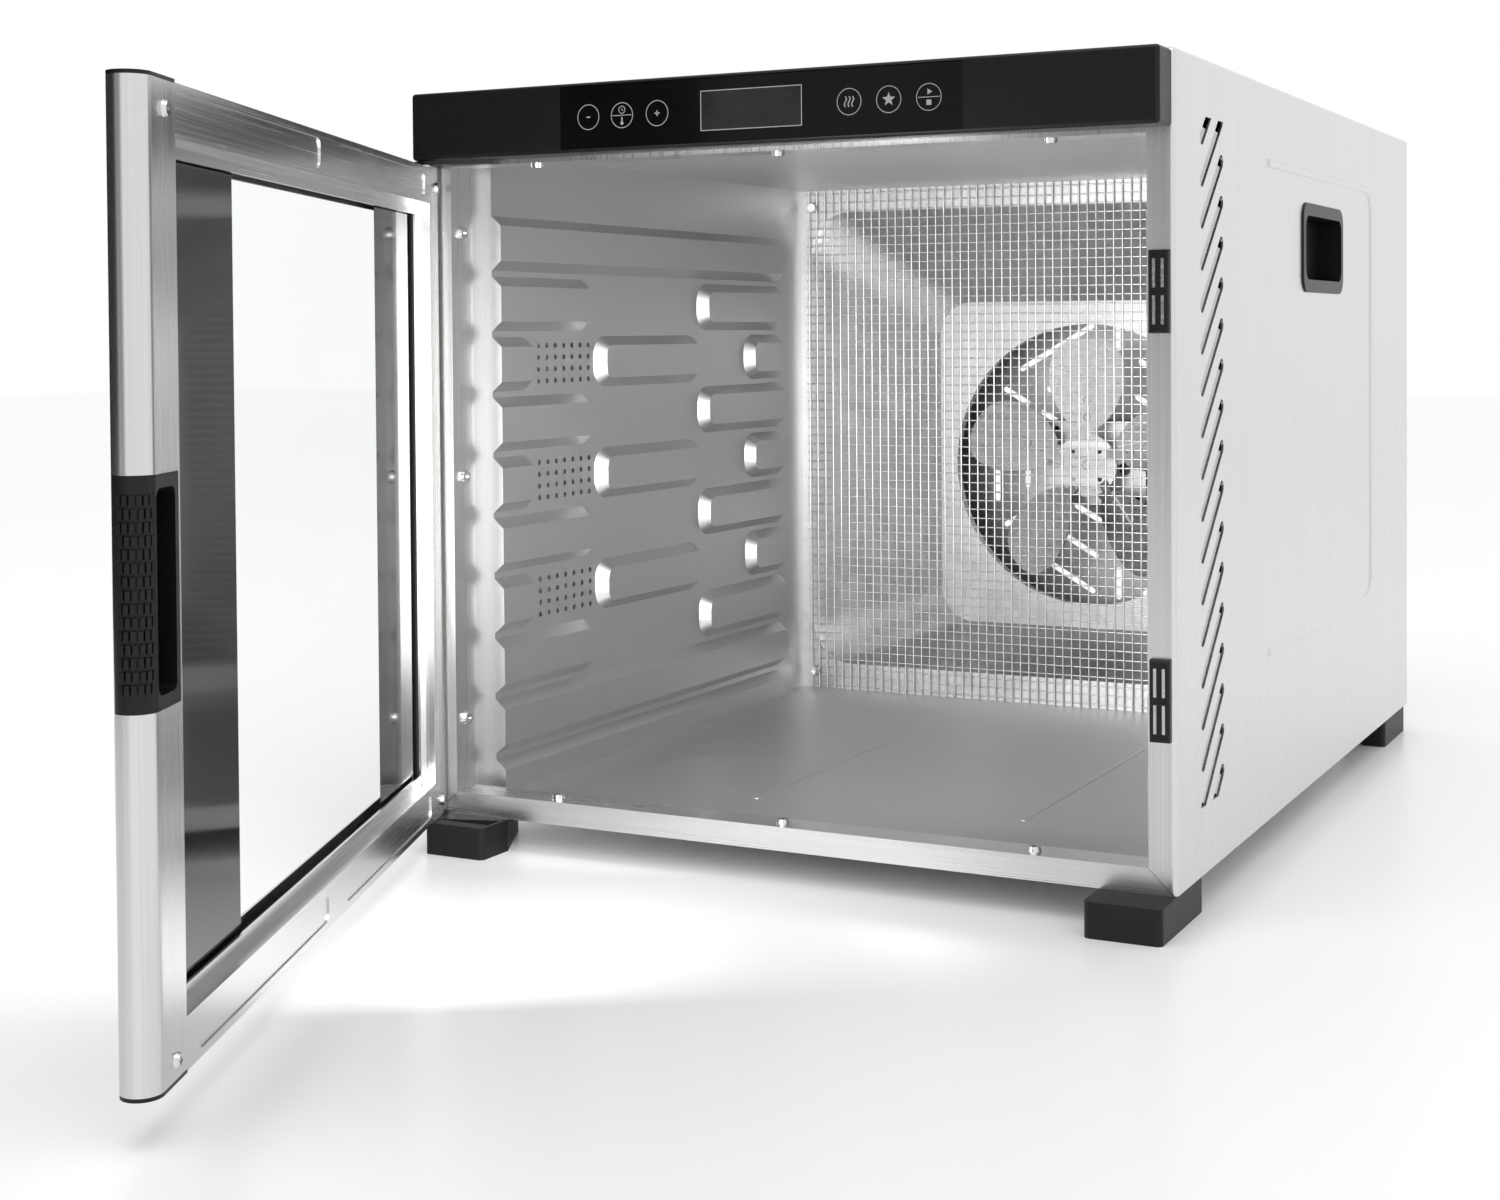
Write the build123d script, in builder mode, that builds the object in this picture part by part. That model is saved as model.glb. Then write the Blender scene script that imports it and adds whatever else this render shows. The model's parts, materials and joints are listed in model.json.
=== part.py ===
from build123d import *
from math import atan2, cos, degrees, hypot, radians, sin
import os

# Food dehydrator: a folded steel cabinet with ten tray levels, a glazed door hung on its left side
# and a fan with a ring heater behind a pressed shroud and a wire guard.
# Millimetres. +X to the right, +Y to the rear, +Z up. The origin is on the table, below the middle
# of the cabinet.

os.makedirs("parts", exist_ok=True)

# ---------------------------------------------------------------- driving dimensions
body_width = 345.0
body_depth = 457.0
body_height = 323.0
foot_height = 14.0

shell_thickness = 1.0
liner_thickness = 0.8
fold_gap = 0.2  # seam between two folded sheets that meet
front_edge_radius = 2.0

post_width = 11.3  # front face of the side posts
sill_height = 10.0  # front face of the bottom rail
lintel_height = 32.0  # front face above the opening, behind the control housing
return_depth = 16.0  # how far the front flanges turn back into the opening

panel_height = 29.5
panel_depth = 15.5
panel_side_inset = 1.5
panel_top_inset = 0.7
panel_wall = 2.8
glass_panel_width = 185.0
glass_panel_thickness = 1.6

tray_levels = 10
tray_pitch = 27.8
lowest_groove = 21.2  # above the underside of the cabinet
groove_width = 2.6
rack_wall_inset = 14.5  # from the cabinet side to the face of the wall sheet
rib_depth = 5.2
rib_flank_angle = 49.0

fan_height = 137.0  # above the underside of the cabinet
fan_opening_radius = 82.5
blade_count = 5
blade_tip_radius = 74.0
blade_pitch_angle = 28.0
shaft_radius = 2.5
running_gap = 0.05

door_width = 359.0
door_height = 290.0
door_thickness = 12.6
door_overhang = 1.0  # past the left side of the cabinet
door_gap = 3.4  # between the closed door and the cabinet front
door_angle = 66.5  # how far the door stands open at rest
hinge_stile_width = 18.0
handle_stile_width = 25.0
door_rail_height = 16.0
door_glass_thickness = 4.0
pin_from_edge = 5.0
pin_from_inner_face = 3.6
pin_radius = 2.0
hinge_plate_thickness = 1.8
hinge_plate_width = 39.0

# ---------------------------------------------------------------- places worked out from them
motor_width = 60.0
motor_height = 50.0
motor_post_spacing_x = 50.0
motor_post_spacing_z = 40.0
left_x = -body_width / 2
right_x = body_width / 2
front_y = -body_depth / 2
rear_y = body_depth / 2
body_bottom = foot_height
body_top = body_bottom + body_height
opening_half = body_width / 2 - post_width
opening_bottom = body_bottom + sill_height
opening_top = body_top - lintel_height

floor_top = body_bottom + 5.0
ceiling_bottom = body_top - 24.0
chamber_height = ceiling_bottom - floor_top
partition_y = front_y + 342.8  # front face of the plate behind the chamber
wall_front_y = front_y + 26.0
fan_z = body_bottom + fan_height
shroud_depth = 57.2
shroud_floor_y = partition_y + shroud_depth
motor_post_places = [
    (x * motor_post_spacing_x / 2, fan_z + z * motor_post_spacing_z / 2) for x in (-1, 1) for z in (-1, 1)
]


def upright(y):
    """A plane that faces the front at the depth y, with +X across and +Z up."""
    return Plane.XZ.offset(-y)


def pan_screws(places, head_radius, head_height, shank_radius, shank_length):
    """Pan-head screws with a cross recess, one for each point on each plane in places."""
    slot_width = head_radius / 4
    with BuildPart() as screws:
        for plane, points in places:
            with BuildSketch(plane):
                with Locations(*points):
                    Circle(head_radius)
            extrude(amount=head_height, taper=18)
            with BuildSketch(plane):
                with Locations(*points):
                    Circle(shank_radius)
            extrude(amount=-shank_length)
            with BuildSketch(plane.offset(head_height)):
                with Locations(*points):
                    Rectangle(head_radius, slot_width)
                    Rectangle(slot_width, head_radius)
            extrude(amount=-head_height / 2, mode=Mode.SUBTRACT)
    return screws


# ---------------------------------------------------------------- outer shell
# One folded sheet: the two sides, the top, the front posts and lintel with their return flanges,
# and a narrow flange round the back that carries the rear cover.
screw_head_radius = 3.1
screw_head_height = 1.8
screw_shank_radius = 1.6
screw_clearance = 0.1
screw_hole_radius = screw_shank_radius + screw_clearance
flange_screw_y = front_y + 7.5
side_screw_heights = [body_bottom + 42.0, body_bottom + 151.5, body_bottom + 261.5]
top_screw_spacing = 120.0
sill_screw_spacing = 112.0
rear_flange_width = 11.0
cover_screw_x = body_width / 2 - rear_flange_width / 2
cover_screw_z = [body_bottom + 22.0, body_bottom + body_height / 2, body_top - 22.0]
housing_screw_x = 130.0
hinge_tab_screw_spacing = 16.0

vent_pitch = 16.5
vent_count = 18
vent_rise = 25.5
vent_run = 28.0
vent_slot_width = 5.6
vent_front_y = front_y + 36.0
vent_bottom = body_bottom + 27.0
vent_top = body_bottom + 300.0
vent_angle = degrees(atan2(vent_rise, vent_run))
vent_first_middle = vent_bottom - 3.5
vent_places = [
    (vent_front_y + vent_run / 2, vent_first_middle + index * vent_pitch) for index in range(vent_count)
]

handle_width = 84.0
handle_height = 42.0
handle_radius = 8.0
handle_y = front_y + 244.0
handle_z = body_bottom + 254.0
handle_flange_width = 2.0

bead_rise = 0.8
bead_flank_angle = 50.0
bead_width = 4.0
bead_radius = 15.0
bead_front_y = front_y + 126.0
bead_rear_y = front_y + 360.0
bead_bottom = body_bottom + 71.5
bead_top = body_bottom + 290.5

housing_slot_width = 60.0
housing_slot_height = 12.0
housing_mid = body_top - panel_top_inset - panel_height / 2
housing_bottom = body_top - panel_top_inset - panel_height
hinge_tab_width = 28.0
hinge_tab_height = 22.0
hinge_tab_x = left_x + 20.0
hinge_tab_screw_z = housing_bottom + hinge_tab_height * 0.7

catch_width = 8.0
catch_height = 31.6
catch_reach = 3.1
catch_stem_width = 3.6
catch_stem_height = 20.0
catch_clearance = 0.1
catch_x = right_x - 6.0
catch_heights = [body_bottom + 74.8, body_bottom + 230.5]

with BuildPart() as outer_shell:
    with BuildSketch(Plane.XY.offset(body_bottom)) as shell_outline:
        Rectangle(body_width, body_depth)
        fillet(shell_outline.vertices().group_by(Axis.Y)[0], front_edge_radius)
    extrude(amount=body_height)
    fillet(outer_shell.faces().sort_by(Axis.Z)[-1].edges().filter_by(Axis.Y), front_edge_radius)
    offset(amount=-shell_thickness, openings=outer_shell.faces().sort_by(Axis.Z)[0])
    # front opening, with the mitred ends that meet the bottom pan
    with BuildSketch(upright(front_y)):
        with BuildLine():
            Polyline(
                (-opening_half, opening_top),
                (opening_half, opening_top),
                (opening_half, opening_bottom),
                (right_x - shell_thickness, body_bottom),
                (left_x + shell_thickness, body_bottom),
                (-opening_half, opening_bottom),
                close=True,
            )
        make_face()
    extrude(amount=-shell_thickness * 1.5, mode=Mode.SUBTRACT)
    # rear opening
    with BuildSketch(upright(rear_y)):
        with Locations((0, (body_bottom + body_top - rear_flange_width) / 2)):
            Rectangle(body_width - 2 * rear_flange_width, body_height - rear_flange_width)
    extrude(amount=shell_thickness, mode=Mode.SUBTRACT)
    # return flanges of the posts and of the lintel
    for side in (-1, 1):
        with BuildSketch(Plane.XY.offset(opening_bottom)):
            with Locations((side * (opening_half + shell_thickness / 2), front_y + return_depth / 2)):
                Rectangle(shell_thickness, return_depth)
        extrude(amount=opening_top - opening_bottom + shell_thickness)
    with BuildSketch(Plane.XY.offset(opening_top)):
        with Locations((0, front_y + return_depth / 2)):
            Rectangle(2 * opening_half, return_depth)
    extrude(amount=shell_thickness)
    # holes for the flange screws
    with BuildSketch(Plane.YZ.offset(left_x + post_width / 2)):
        with Locations(*[(flange_screw_y, z) for z in side_screw_heights]):
            Circle(screw_hole_radius)
    extrude(amount=body_width - post_width, mode=Mode.SUBTRACT)
    with BuildSketch(Plane.XY.offset(opening_top)):
        with Locations((0, flange_screw_y)):
            with GridLocations(top_screw_spacing, 1, 3, 1):
                Circle(screw_hole_radius)
    extrude(amount=shell_thickness, mode=Mode.SUBTRACT)
    # slanted air slots near the front of both sides, cut off level at the top and the bottom
    with BuildSketch(Plane.YZ.offset(left_x)):
        with Locations(*vent_places):
            SlotCenterToCenter(hypot(vent_run, vent_rise), vent_slot_width, rotation=vent_angle)
        with Locations((vent_front_y + vent_run / 2, (vent_bottom + vent_top) / 2)):
            Rectangle(vent_run * 2, vent_top - vent_bottom, mode=Mode.INTERSECT)
    extrude(amount=body_width, mode=Mode.SUBTRACT)
    # openings for the carry handles
    with BuildSketch(Plane.YZ.offset(left_x)):
        with Locations((handle_y, handle_z)):
            RectangleRounded(
                handle_width - 2 * handle_flange_width,
                handle_height - 2 * handle_flange_width,
                handle_radius - handle_flange_width,
            )
    extrude(amount=body_width, mode=Mode.SUBTRACT)
    # cable slot behind the control housing
    with BuildSketch(upright(front_y)):
        with Locations((0, housing_mid)):
            Rectangle(housing_slot_width, housing_slot_height)
    extrude(amount=-shell_thickness, mode=Mode.SUBTRACT)
    # holes for the rear cover's screws
    with BuildSketch(upright(rear_y)):
        with Locations(*[(side * cover_screw_x, z) for side in (-1, 1) for z in cover_screw_z]):
            Circle(screw_hole_radius)
    extrude(amount=shell_thickness, mode=Mode.SUBTRACT)
    # holes in the lintel for the housing's screws and for those of the upper hinge plate
    with BuildSketch(upright(front_y)):
        with Locations((-housing_screw_x, housing_mid), (housing_screw_x, housing_mid)):
            Circle(screw_hole_radius)
        with Locations((hinge_tab_x, hinge_tab_screw_z)):
            with GridLocations(hinge_tab_screw_spacing, 1, 2, 1):
                Circle(screw_hole_radius)
    extrude(amount=-shell_thickness, mode=Mode.SUBTRACT)
    # slots in the right post for the stems of the two catches
    with BuildSketch(upright(front_y)):
        with Locations(*[(catch_x, z) for z in catch_heights]):
            Rectangle(catch_stem_width + 2 * catch_clearance, catch_stem_height + 2 * catch_clearance)
    extrude(amount=-shell_thickness, mode=Mode.SUBTRACT)
    # a low bead stands out of each side: top, rear and bottom of a frame that is open in front
    for side in (-1, 1):
        with BuildSketch(Plane.YZ.offset(side * body_width / 2)):
            with Locations(((bead_front_y + bead_rear_y) / 2, (bead_bottom + bead_top) / 2)):
                RectangleRounded(bead_rear_y - bead_front_y, bead_top - bead_bottom, bead_radius)
                RectangleRounded(
                    bead_rear_y - bead_front_y - 2 * bead_width,
                    bead_top - bead_bottom - 2 * bead_width,
                    bead_radius - bead_width,
                    mode=Mode.SUBTRACT,
                )
            with Locations((bead_front_y + bead_radius / 2, (bead_bottom + bead_top) / 2)):
                Rectangle(bead_radius, bead_top - bead_bottom, mode=Mode.SUBTRACT)
        extrude(amount=side * bead_rise, taper=90 - bead_flank_angle)

outer_shell.part.label = "outer_shell"
export_step(outer_shell.part, "parts/outer_shell.step")

# ---------------------------------------------------------------- bottom pan
# The sheet under the cabinet, with the bottom rail of the front and low walls at the sides and
# the rear. The feet are screwed to it from below.
pan_clearance = 0.1
pan_half = body_width / 2 - shell_thickness - pan_clearance
pan_wall_height = 12.0
pan_wall_front_y = front_y + 3.0
pan_corner_notch = 5.0
pan_rear_half = body_width / 2 - rear_flange_width - fold_gap
pan_rear_screw_x = 80.0
pan_rear_screw_z = body_bottom + pan_wall_height / 2

foot_width = 31.0
foot_length = 55.5
foot_front_reach = 20.0  # how far the front feet stand out in front of the cabinet
foot_rear_inset = 8.0
foot_left_inset = 8.0  # the front left foot stands beside the hinge
foot_cut_width = 19.0
foot_cut_length = 36.0
foot_edge_radius = 2.5
foot_screw_from_edge = 8.5
foot_screw_front_y = 28.0  # from the foot's outer end
foot_screw_spacing = 19.0
foot_screw_head_depth = 8.0
foot_front_y = front_y - foot_front_reach
foot_rear_y = rear_y - foot_rear_inset


def foot_screw_points(outer_x, side, end_y, inwards):
    """The two screws of a foot whose outer corner is at (outer_x, end_y)."""
    x = outer_x - side * foot_screw_from_edge
    first = end_y + inwards * foot_screw_front_y
    return [(x, first), (x, first + inwards * foot_screw_spacing)]


front_left_points = foot_screw_points(left_x + foot_left_inset, -1, foot_front_y, 1)
front_right_points = foot_screw_points(right_x, 1, foot_front_y, 1)
rear_left_points = foot_screw_points(left_x, -1, foot_rear_y, -1)
rear_right_points = foot_screw_points(right_x, 1, foot_rear_y, -1)
all_foot_points = front_left_points + front_right_points + rear_left_points + rear_right_points

with BuildPart() as bottom_pan:
    with BuildSketch(Plane.XY.offset(body_bottom)):
        with Locations((0, -shell_thickness / 2)):
            Rectangle(2 * pan_half, body_depth - shell_thickness)
        with Locations((0, rear_y - shell_thickness)):
            Rectangle(2 * pan_rear_half, 2 * shell_thickness)
        with Locations((-pan_half, front_y), (pan_half, front_y)):
            Rectangle(pan_corner_notch, pan_corner_notch, mode=Mode.SUBTRACT)
    extrude(amount=shell_thickness)
    # front face between the mitred post ends
    with BuildSketch(upright(front_y)):
        with BuildLine():
            Polyline(
                (-opening_half + fold_gap, opening_bottom),
                (opening_half - fold_gap, opening_bottom),
                (right_x - shell_thickness - 2 * fold_gap, body_bottom),
                (left_x + shell_thickness + 2 * fold_gap, body_bottom),
                close=True,
            )
        make_face()
    extrude(amount=-shell_thickness)
    # return flange under the opening
    with BuildSketch(Plane.XY.offset(opening_bottom - shell_thickness)):
        with Locations((0, front_y + return_depth / 2)):
            Rectangle(2 * (opening_half - fold_gap), return_depth)
        with Locations((0, flange_screw_y)):
            with GridLocations(sill_screw_spacing, 1, 3, 1):
                Circle(screw_hole_radius, mode=Mode.SUBTRACT)
    extrude(amount=shell_thickness)
    # side walls inside the shell
    for side in (-1, 1):
        with BuildSketch(Plane.XY.offset(body_bottom)):
            with Locations(
                (side * (pan_half - shell_thickness / 2), (pan_wall_front_y + rear_y - shell_thickness) / 2)
            ):
                Rectangle(shell_thickness, rear_y - shell_thickness - pan_wall_front_y)
        extrude(amount=pan_wall_height)
    # rear wall, level with the rear flange of the shell
    with BuildSketch(Plane.XY.offset(body_bottom)):
        with Locations((0, rear_y - shell_thickness / 2)):
            Rectangle(2 * pan_rear_half, shell_thickness)
    extrude(amount=pan_wall_height)
    with BuildSketch(upright(rear_y)):
        with Locations((-pan_rear_screw_x, pan_rear_screw_z), (pan_rear_screw_x, pan_rear_screw_z)):
            Circle(screw_hole_radius)
    extrude(amount=shell_thickness, mode=Mode.SUBTRACT)
    with BuildSketch(Plane.XY.offset(body_bottom)):
        with Locations(*all_foot_points):
            Circle(screw_hole_radius)
    extrude(amount=shell_thickness, mode=Mode.SUBTRACT)

bottom_pan.part.label = "bottom_pan"
export_step(bottom_pan.part, "parts/bottom_pan.step")

# ---------------------------------------------------------------- rear cover
# A flat sheet over the back. Its air slots are arranged round the fan: straight slots along the
# sides of nested hexagons and short radial slots across their corners.
cover_inset = 1.0
cover_corner_radius = 3.0
rear_slot_width = 3.5
rear_slot_rows = [(38.8, 20.0), (58.8, 38.0), (78.8, 56.0)]  # distance from the fan axis, length
radial_slots = [(45.0, 57.5), (66.0, 86.0)]  # from and to this distance
cover_screw_head_radius = 2.9
cover_screw_length = 6.0

inlet_x = 118.0
inlet_z = body_bottom + 36.0
inlet_body_width = 27.5
inlet_body_height = 20.0
inlet_clearance = 0.2
inlet_screw_spacing = 40.0

with BuildPart() as rear_cover:
    with BuildSketch(upright(rear_y)):
        with Locations((0, (body_bottom + body_top) / 2)):
            RectangleRounded(
                body_width - 2 * cover_inset, body_height - 2 * cover_inset, cover_corner_radius
            )
        for turn in range(0, 360, 60):
            for distance, length in rear_slot_rows:
                across = Vector(distance, 0).rotate(Axis.Z, turn)
                with Locations((across.X, fan_z + across.Y)):
                    SlotOverall(length, rear_slot_width, rotation=turn + 90, mode=Mode.SUBTRACT)
            for inner, outer in radial_slots:
                across = Vector((inner + outer) / 2, 0).rotate(Axis.Z, turn + 30)
                with Locations((across.X, fan_z + across.Y)):
                    SlotOverall(outer - inner, rear_slot_width, rotation=turn + 30, mode=Mode.SUBTRACT)
        with Locations((inlet_x, inlet_z)):
            Rectangle(
                inlet_body_width + 2 * inlet_clearance,
                inlet_body_height + 2 * inlet_clearance,
                mode=Mode.SUBTRACT,
            )
            with GridLocations(inlet_screw_spacing, 1, 2, 1):
                Circle(screw_hole_radius, mode=Mode.SUBTRACT)
        with Locations(*[(side * cover_screw_x, z) for side in (-1, 1) for z in cover_screw_z]):
            Circle(screw_hole_radius, mode=Mode.SUBTRACT)
        with Locations((-pan_rear_screw_x, pan_rear_screw_z), (pan_rear_screw_x, pan_rear_screw_z)):
            Circle(screw_hole_radius, mode=Mode.SUBTRACT)
        with Locations(*motor_post_places):
            Circle(screw_hole_radius, mode=Mode.SUBTRACT)
    extrude(amount=-shell_thickness)

rear_cover.part.label = "rear_cover"
export_step(rear_cover.part, "parts/rear_cover.step")

# the same screws hold the cover to the flange, to the pan and to the four motor posts; on a plane
# that faces the rear, x runs the other way
rear_face = Plane(origin=(0, rear_y + shell_thickness, 0), x_dir=(-1, 0, 0), z_dir=(0, 1, 0))
cover_points = [(side * cover_screw_x, z) for side in (-1, 1) for z in cover_screw_z]
cover_points += [(side * pan_rear_screw_x, pan_rear_screw_z) for side in (-1, 1)]
cover_points += motor_post_places
cover_screws = pan_screws(
    [(rear_face, cover_points)],
    cover_screw_head_radius,
    screw_head_height,
    screw_shank_radius,
    cover_screw_length,
)
cover_screws.part.label = "cover_screws"
export_step(cover_screws.part, "parts/cover_screws.step")

# ---------------------------------------------------------------- chamber liners
# The floor and ceiling sheets reach from a lip under (or over) the front flange to the plate
# behind the chamber. Each lip is held by the three screws in that flange.
liner_half = 160.0
liner_front_y = front_y + 13.0
lip_front_y = front_y + 3.2


def chamber_liner(face_z, outwards, lip_z, screw_spacing):
    """A floor (outwards -1) or ceiling (outwards 1) sheet, its front upstand and its lip."""
    with BuildPart() as liner:
        with BuildSketch(Plane.XY.offset(face_z)):
            with Locations((0, (liner_front_y + partition_y) / 2)):
                Rectangle(2 * liner_half, partition_y - liner_front_y)
        extrude(amount=outwards * liner_thickness)
        with BuildSketch(Plane.XY.offset(lip_z)):
            with Locations((0, (lip_front_y + liner_front_y + liner_thickness) / 2)):
                Rectangle(2 * liner_half, liner_front_y + liner_thickness - lip_front_y)
            with Locations((0, flange_screw_y)):
                with GridLocations(screw_spacing, 1, 3, 1):
                    Circle(screw_hole_radius, mode=Mode.SUBTRACT)
        extrude(amount=outwards * liner_thickness)
        with BuildSketch(Plane.XY.offset(face_z + outwards * liner_thickness)):
            with Locations((0, liner_front_y + liner_thickness / 2)):
                Rectangle(2 * liner_half, liner_thickness)
        extrude(amount=lip_z - face_z - outwards * liner_thickness)
    return liner


floor_lip_z = opening_bottom - shell_thickness
ceiling_lip_z = opening_top + shell_thickness
floor_liner = chamber_liner(floor_top, -1, floor_lip_z, sill_screw_spacing)
floor_liner.part.label = "floor_liner"
export_step(floor_liner.part, "parts/floor_liner.step")

ceiling_liner = chamber_liner(ceiling_bottom, 1, ceiling_lip_z, top_screw_spacing)
ceiling_liner.part.label = "ceiling_liner"
export_step(ceiling_liner.part, "parts/ceiling_liner.step")

# ---------------------------------------------------------------- rack walls
# Pressed sheets inside the two sides. Long hollow ribs stand between the tray grooves, so each
# groove is what two ribs leave open. Some ribs are shorter, with air holes beside them.
rack_wall_x = left_x + rack_wall_inset
strip_x = -opening_half - shell_thickness
strip_front_y = front_y + 2.0
rib_front_y = wall_front_y
rib_rear_y = front_y + 317.0
rib_end_radius = 10.0
rib_corner_lap = 20.0  # the front end of a rib is cut square where the wall begins
rib_inner_offset = 0.33
rib_taper = 90 - rib_flank_angle
short_rib_end = front_y + 110.0
middle_rib_ends = (front_y + 112.0, front_y + 216.0)
stub_rib_end = front_y + 59.0
rear_stub_start = front_y + 269.0
hole_pitch_y = 7.3
hole_pitch_z = 5.6
holes_along = 7
holes_up = 4
air_hole_radius = 1.25
full_bands = (0, 1, 9)
air_bands = (3, 5, 7)


def band_middle(band):
    """Height of the middle of a rib band; band 0 lies below the lowest groove."""
    return body_bottom + lowest_groove + (band - 0.5) * tray_pitch


def band_spans(band):
    """The lengths of rib in a band, as pairs of front and rear ends."""
    if band in full_bands:
        return [(rib_front_y - rib_corner_lap, rib_rear_y)]
    if band in air_bands:
        return [
            (rib_front_y - rib_corner_lap, stub_rib_end),
            middle_rib_ends,
            (rear_stub_start, rib_rear_y),
        ]
    return [(rib_front_y - rib_corner_lap, short_rib_end), (middle_rib_ends[1], rib_rear_y)]


def rib_forms(sheet_x, narrower, front_limit):
    """Tapered ribs on the plane x = sheet_x, cut square at front_limit and at the floor."""
    with BuildPart() as ribs:
        for band in range(tray_levels):
            for front_end, rear_end in band_spans(band):
                with BuildSketch(Plane.YZ.offset(sheet_x)):
                    with Locations(((front_end + rear_end) / 2, band_middle(band))):
                        RectangleRounded(
                            rear_end - front_end - 2 * narrower,
                            tray_pitch - groove_width - 2 * narrower,
                            rib_end_radius - narrower,
                        )
                extrude(amount=rib_depth, taper=rib_taper)
        split(bisect_by=Plane.XZ.offset(-front_limit), keep=Keep.BOTTOM)
        split(bisect_by=Plane.XY.offset(floor_top), keep=Keep.TOP)
    return ribs


rib_outsides = rib_forms(rack_wall_x, 0, rib_front_y)
rib_pockets = rib_forms(rack_wall_x - liner_thickness, rib_inner_offset, rib_front_y + liner_thickness)

with BuildPart() as left_rack_wall:
    with BuildSketch(Plane.XY.offset(floor_top)):
        with BuildLine():
            Polyline(
                (strip_x, strip_front_y),
                (strip_x, wall_front_y),
                (rack_wall_x, wall_front_y),
                (rack_wall_x, partition_y),
                (rack_wall_x - liner_thickness, partition_y),
                (rack_wall_x - liner_thickness, wall_front_y + liner_thickness),
                (strip_x - liner_thickness, wall_front_y + liner_thickness),
                (strip_x - liner_thickness, strip_front_y),
                close=True,
            )
        make_face()
    extrude(amount=chamber_height)
    add(rib_outsides.part)
    add(rib_pockets.part, mode=Mode.SUBTRACT)
    with BuildSketch(Plane.YZ.offset(rack_wall_x - liner_thickness)):
        for band in air_bands:
            with Locations(((stub_rib_end + middle_rib_ends[0]) / 2, band_middle(band))):
                with GridLocations(hole_pitch_y, hole_pitch_z, holes_along, holes_up):
                    Circle(air_hole_radius)
    extrude(amount=liner_thickness, mode=Mode.SUBTRACT)
    with BuildSketch(Plane.YZ.offset(strip_x - liner_thickness)):
        with Locations(*[(flange_screw_y, z) for z in side_screw_heights]):
            Circle(screw_hole_radius)
    extrude(amount=liner_thickness, mode=Mode.SUBTRACT)

left_rack_wall.part.label = "left_rack_wall"
export_step(left_rack_wall.part, "parts/left_rack_wall.step")

with BuildPart() as right_rack_wall:
    mirror(left_rack_wall.part, about=Plane.YZ)

right_rack_wall.part.label = "right_rack_wall"
export_step(right_rack_wall.part, "parts/right_rack_wall.step")

# ---------------------------------------------------------------- fan shroud
# The plate behind the chamber, drawn back into a funnel whose flat end has the fan's opening.
plate_half = 170.3
plate_bottom = body_bottom + shell_thickness
plate_top = body_top - shell_thickness
mouth_half = 151.5
mouth_bottom = body_bottom + 20.0
mouth_top = body_bottom + 286.0
mouth_radius = 25.0
flat_width = 186.0
flat_height = 192.0
flat_radius = 20.0
funnel_skin = 1.1  # wall of the funnel measured across the opening, as its sides slope
collar_height = 6.0
cable_pass_radius = 9.0
cable_pass_x = 130.0

guard_wire_radius = 0.45
guard_pitch = 5.08
guard_columns = 61
guard_rows = 58
guard_gap = 0.05
guard_overhang = 2.0
guard_mid = body_bottom + 152.0
guard_screw_x = guard_pitch * 29.5
guard_screw_rise = guard_pitch * 27
guard_screw_points = [
    (side_x * guard_screw_x, guard_mid + side_z * guard_screw_rise)
    for side_x in (-1, 1)
    for side_z in (-1, 1)
]

sensor_offset = 80.0
sensor_hole_radius = 3.0

with BuildPart() as fan_shroud:
    with BuildSketch(upright(partition_y)):
        with Locations((0, (plate_bottom + plate_top) / 2)):
            Rectangle(2 * plate_half, plate_top - plate_bottom)
    extrude(amount=-liner_thickness)
    with BuildSketch(upright(partition_y)):
        with Locations((0, (mouth_bottom + mouth_top) / 2)):
            RectangleRounded(
                2 * (mouth_half + funnel_skin),
                mouth_top - mouth_bottom + 2 * funnel_skin,
                mouth_radius + funnel_skin,
            )
    with BuildSketch(upright(shroud_floor_y + liner_thickness)):
        with Locations((0, fan_z)):
            RectangleRounded(
                flat_width + 2 * funnel_skin, flat_height + 2 * funnel_skin, flat_radius + funnel_skin
            )
    loft()
    with BuildSketch(upright(partition_y)):
        with Locations((0, (mouth_bottom + mouth_top) / 2)):
            RectangleRounded(2 * mouth_half, mouth_top - mouth_bottom, mouth_radius)
    with BuildSketch(upright(shroud_floor_y)):
        with Locations((0, fan_z)):
            RectangleRounded(flat_width, flat_height, flat_radius)
    loft(mode=Mode.SUBTRACT)
    # collar round the fan's opening
    with BuildSketch(upright(shroud_floor_y)):
        with Locations((0, fan_z)):
            Circle(fan_opening_radius + liner_thickness)
    extrude(amount=-collar_height)
    with BuildSketch(upright(shroud_floor_y)):
        with Locations((0, fan_z)):
            Circle(fan_opening_radius)
    extrude(amount=-collar_height, mode=Mode.SUBTRACT)
    # holes for the guard's screws, the heater's clips, the sensors and the mains leads
    with BuildSketch(upright(partition_y)):
        with Locations(*guard_screw_points):
            Circle(screw_hole_radius)
        with Locations((cable_pass_x, (mouth_top + plate_top) / 2)):
            Circle(cable_pass_radius)
    extrude(amount=-liner_thickness, mode=Mode.SUBTRACT)
    with BuildSketch(upright(shroud_floor_y)):
        with Locations((sensor_offset, fan_z + sensor_offset)):
            Circle(sensor_hole_radius)
    extrude(amount=-liner_thickness, mode=Mode.SUBTRACT)

fan_shroud.part.label = "fan_shroud"
export_step(fan_shroud.part, "parts/fan_shroud.step")

# ---------------------------------------------------------------- wire guard
# Upright wires in front of level ones, in front of the shroud's mouth.
rows_y = partition_y - guard_gap - guard_wire_radius
columns_y = rows_y - 2 * guard_wire_radius - guard_gap
columns_height = (guard_rows - 1) * guard_pitch + 2 * guard_overhang
rows_width = (guard_columns - 1) * guard_pitch + 2 * guard_overhang

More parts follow.
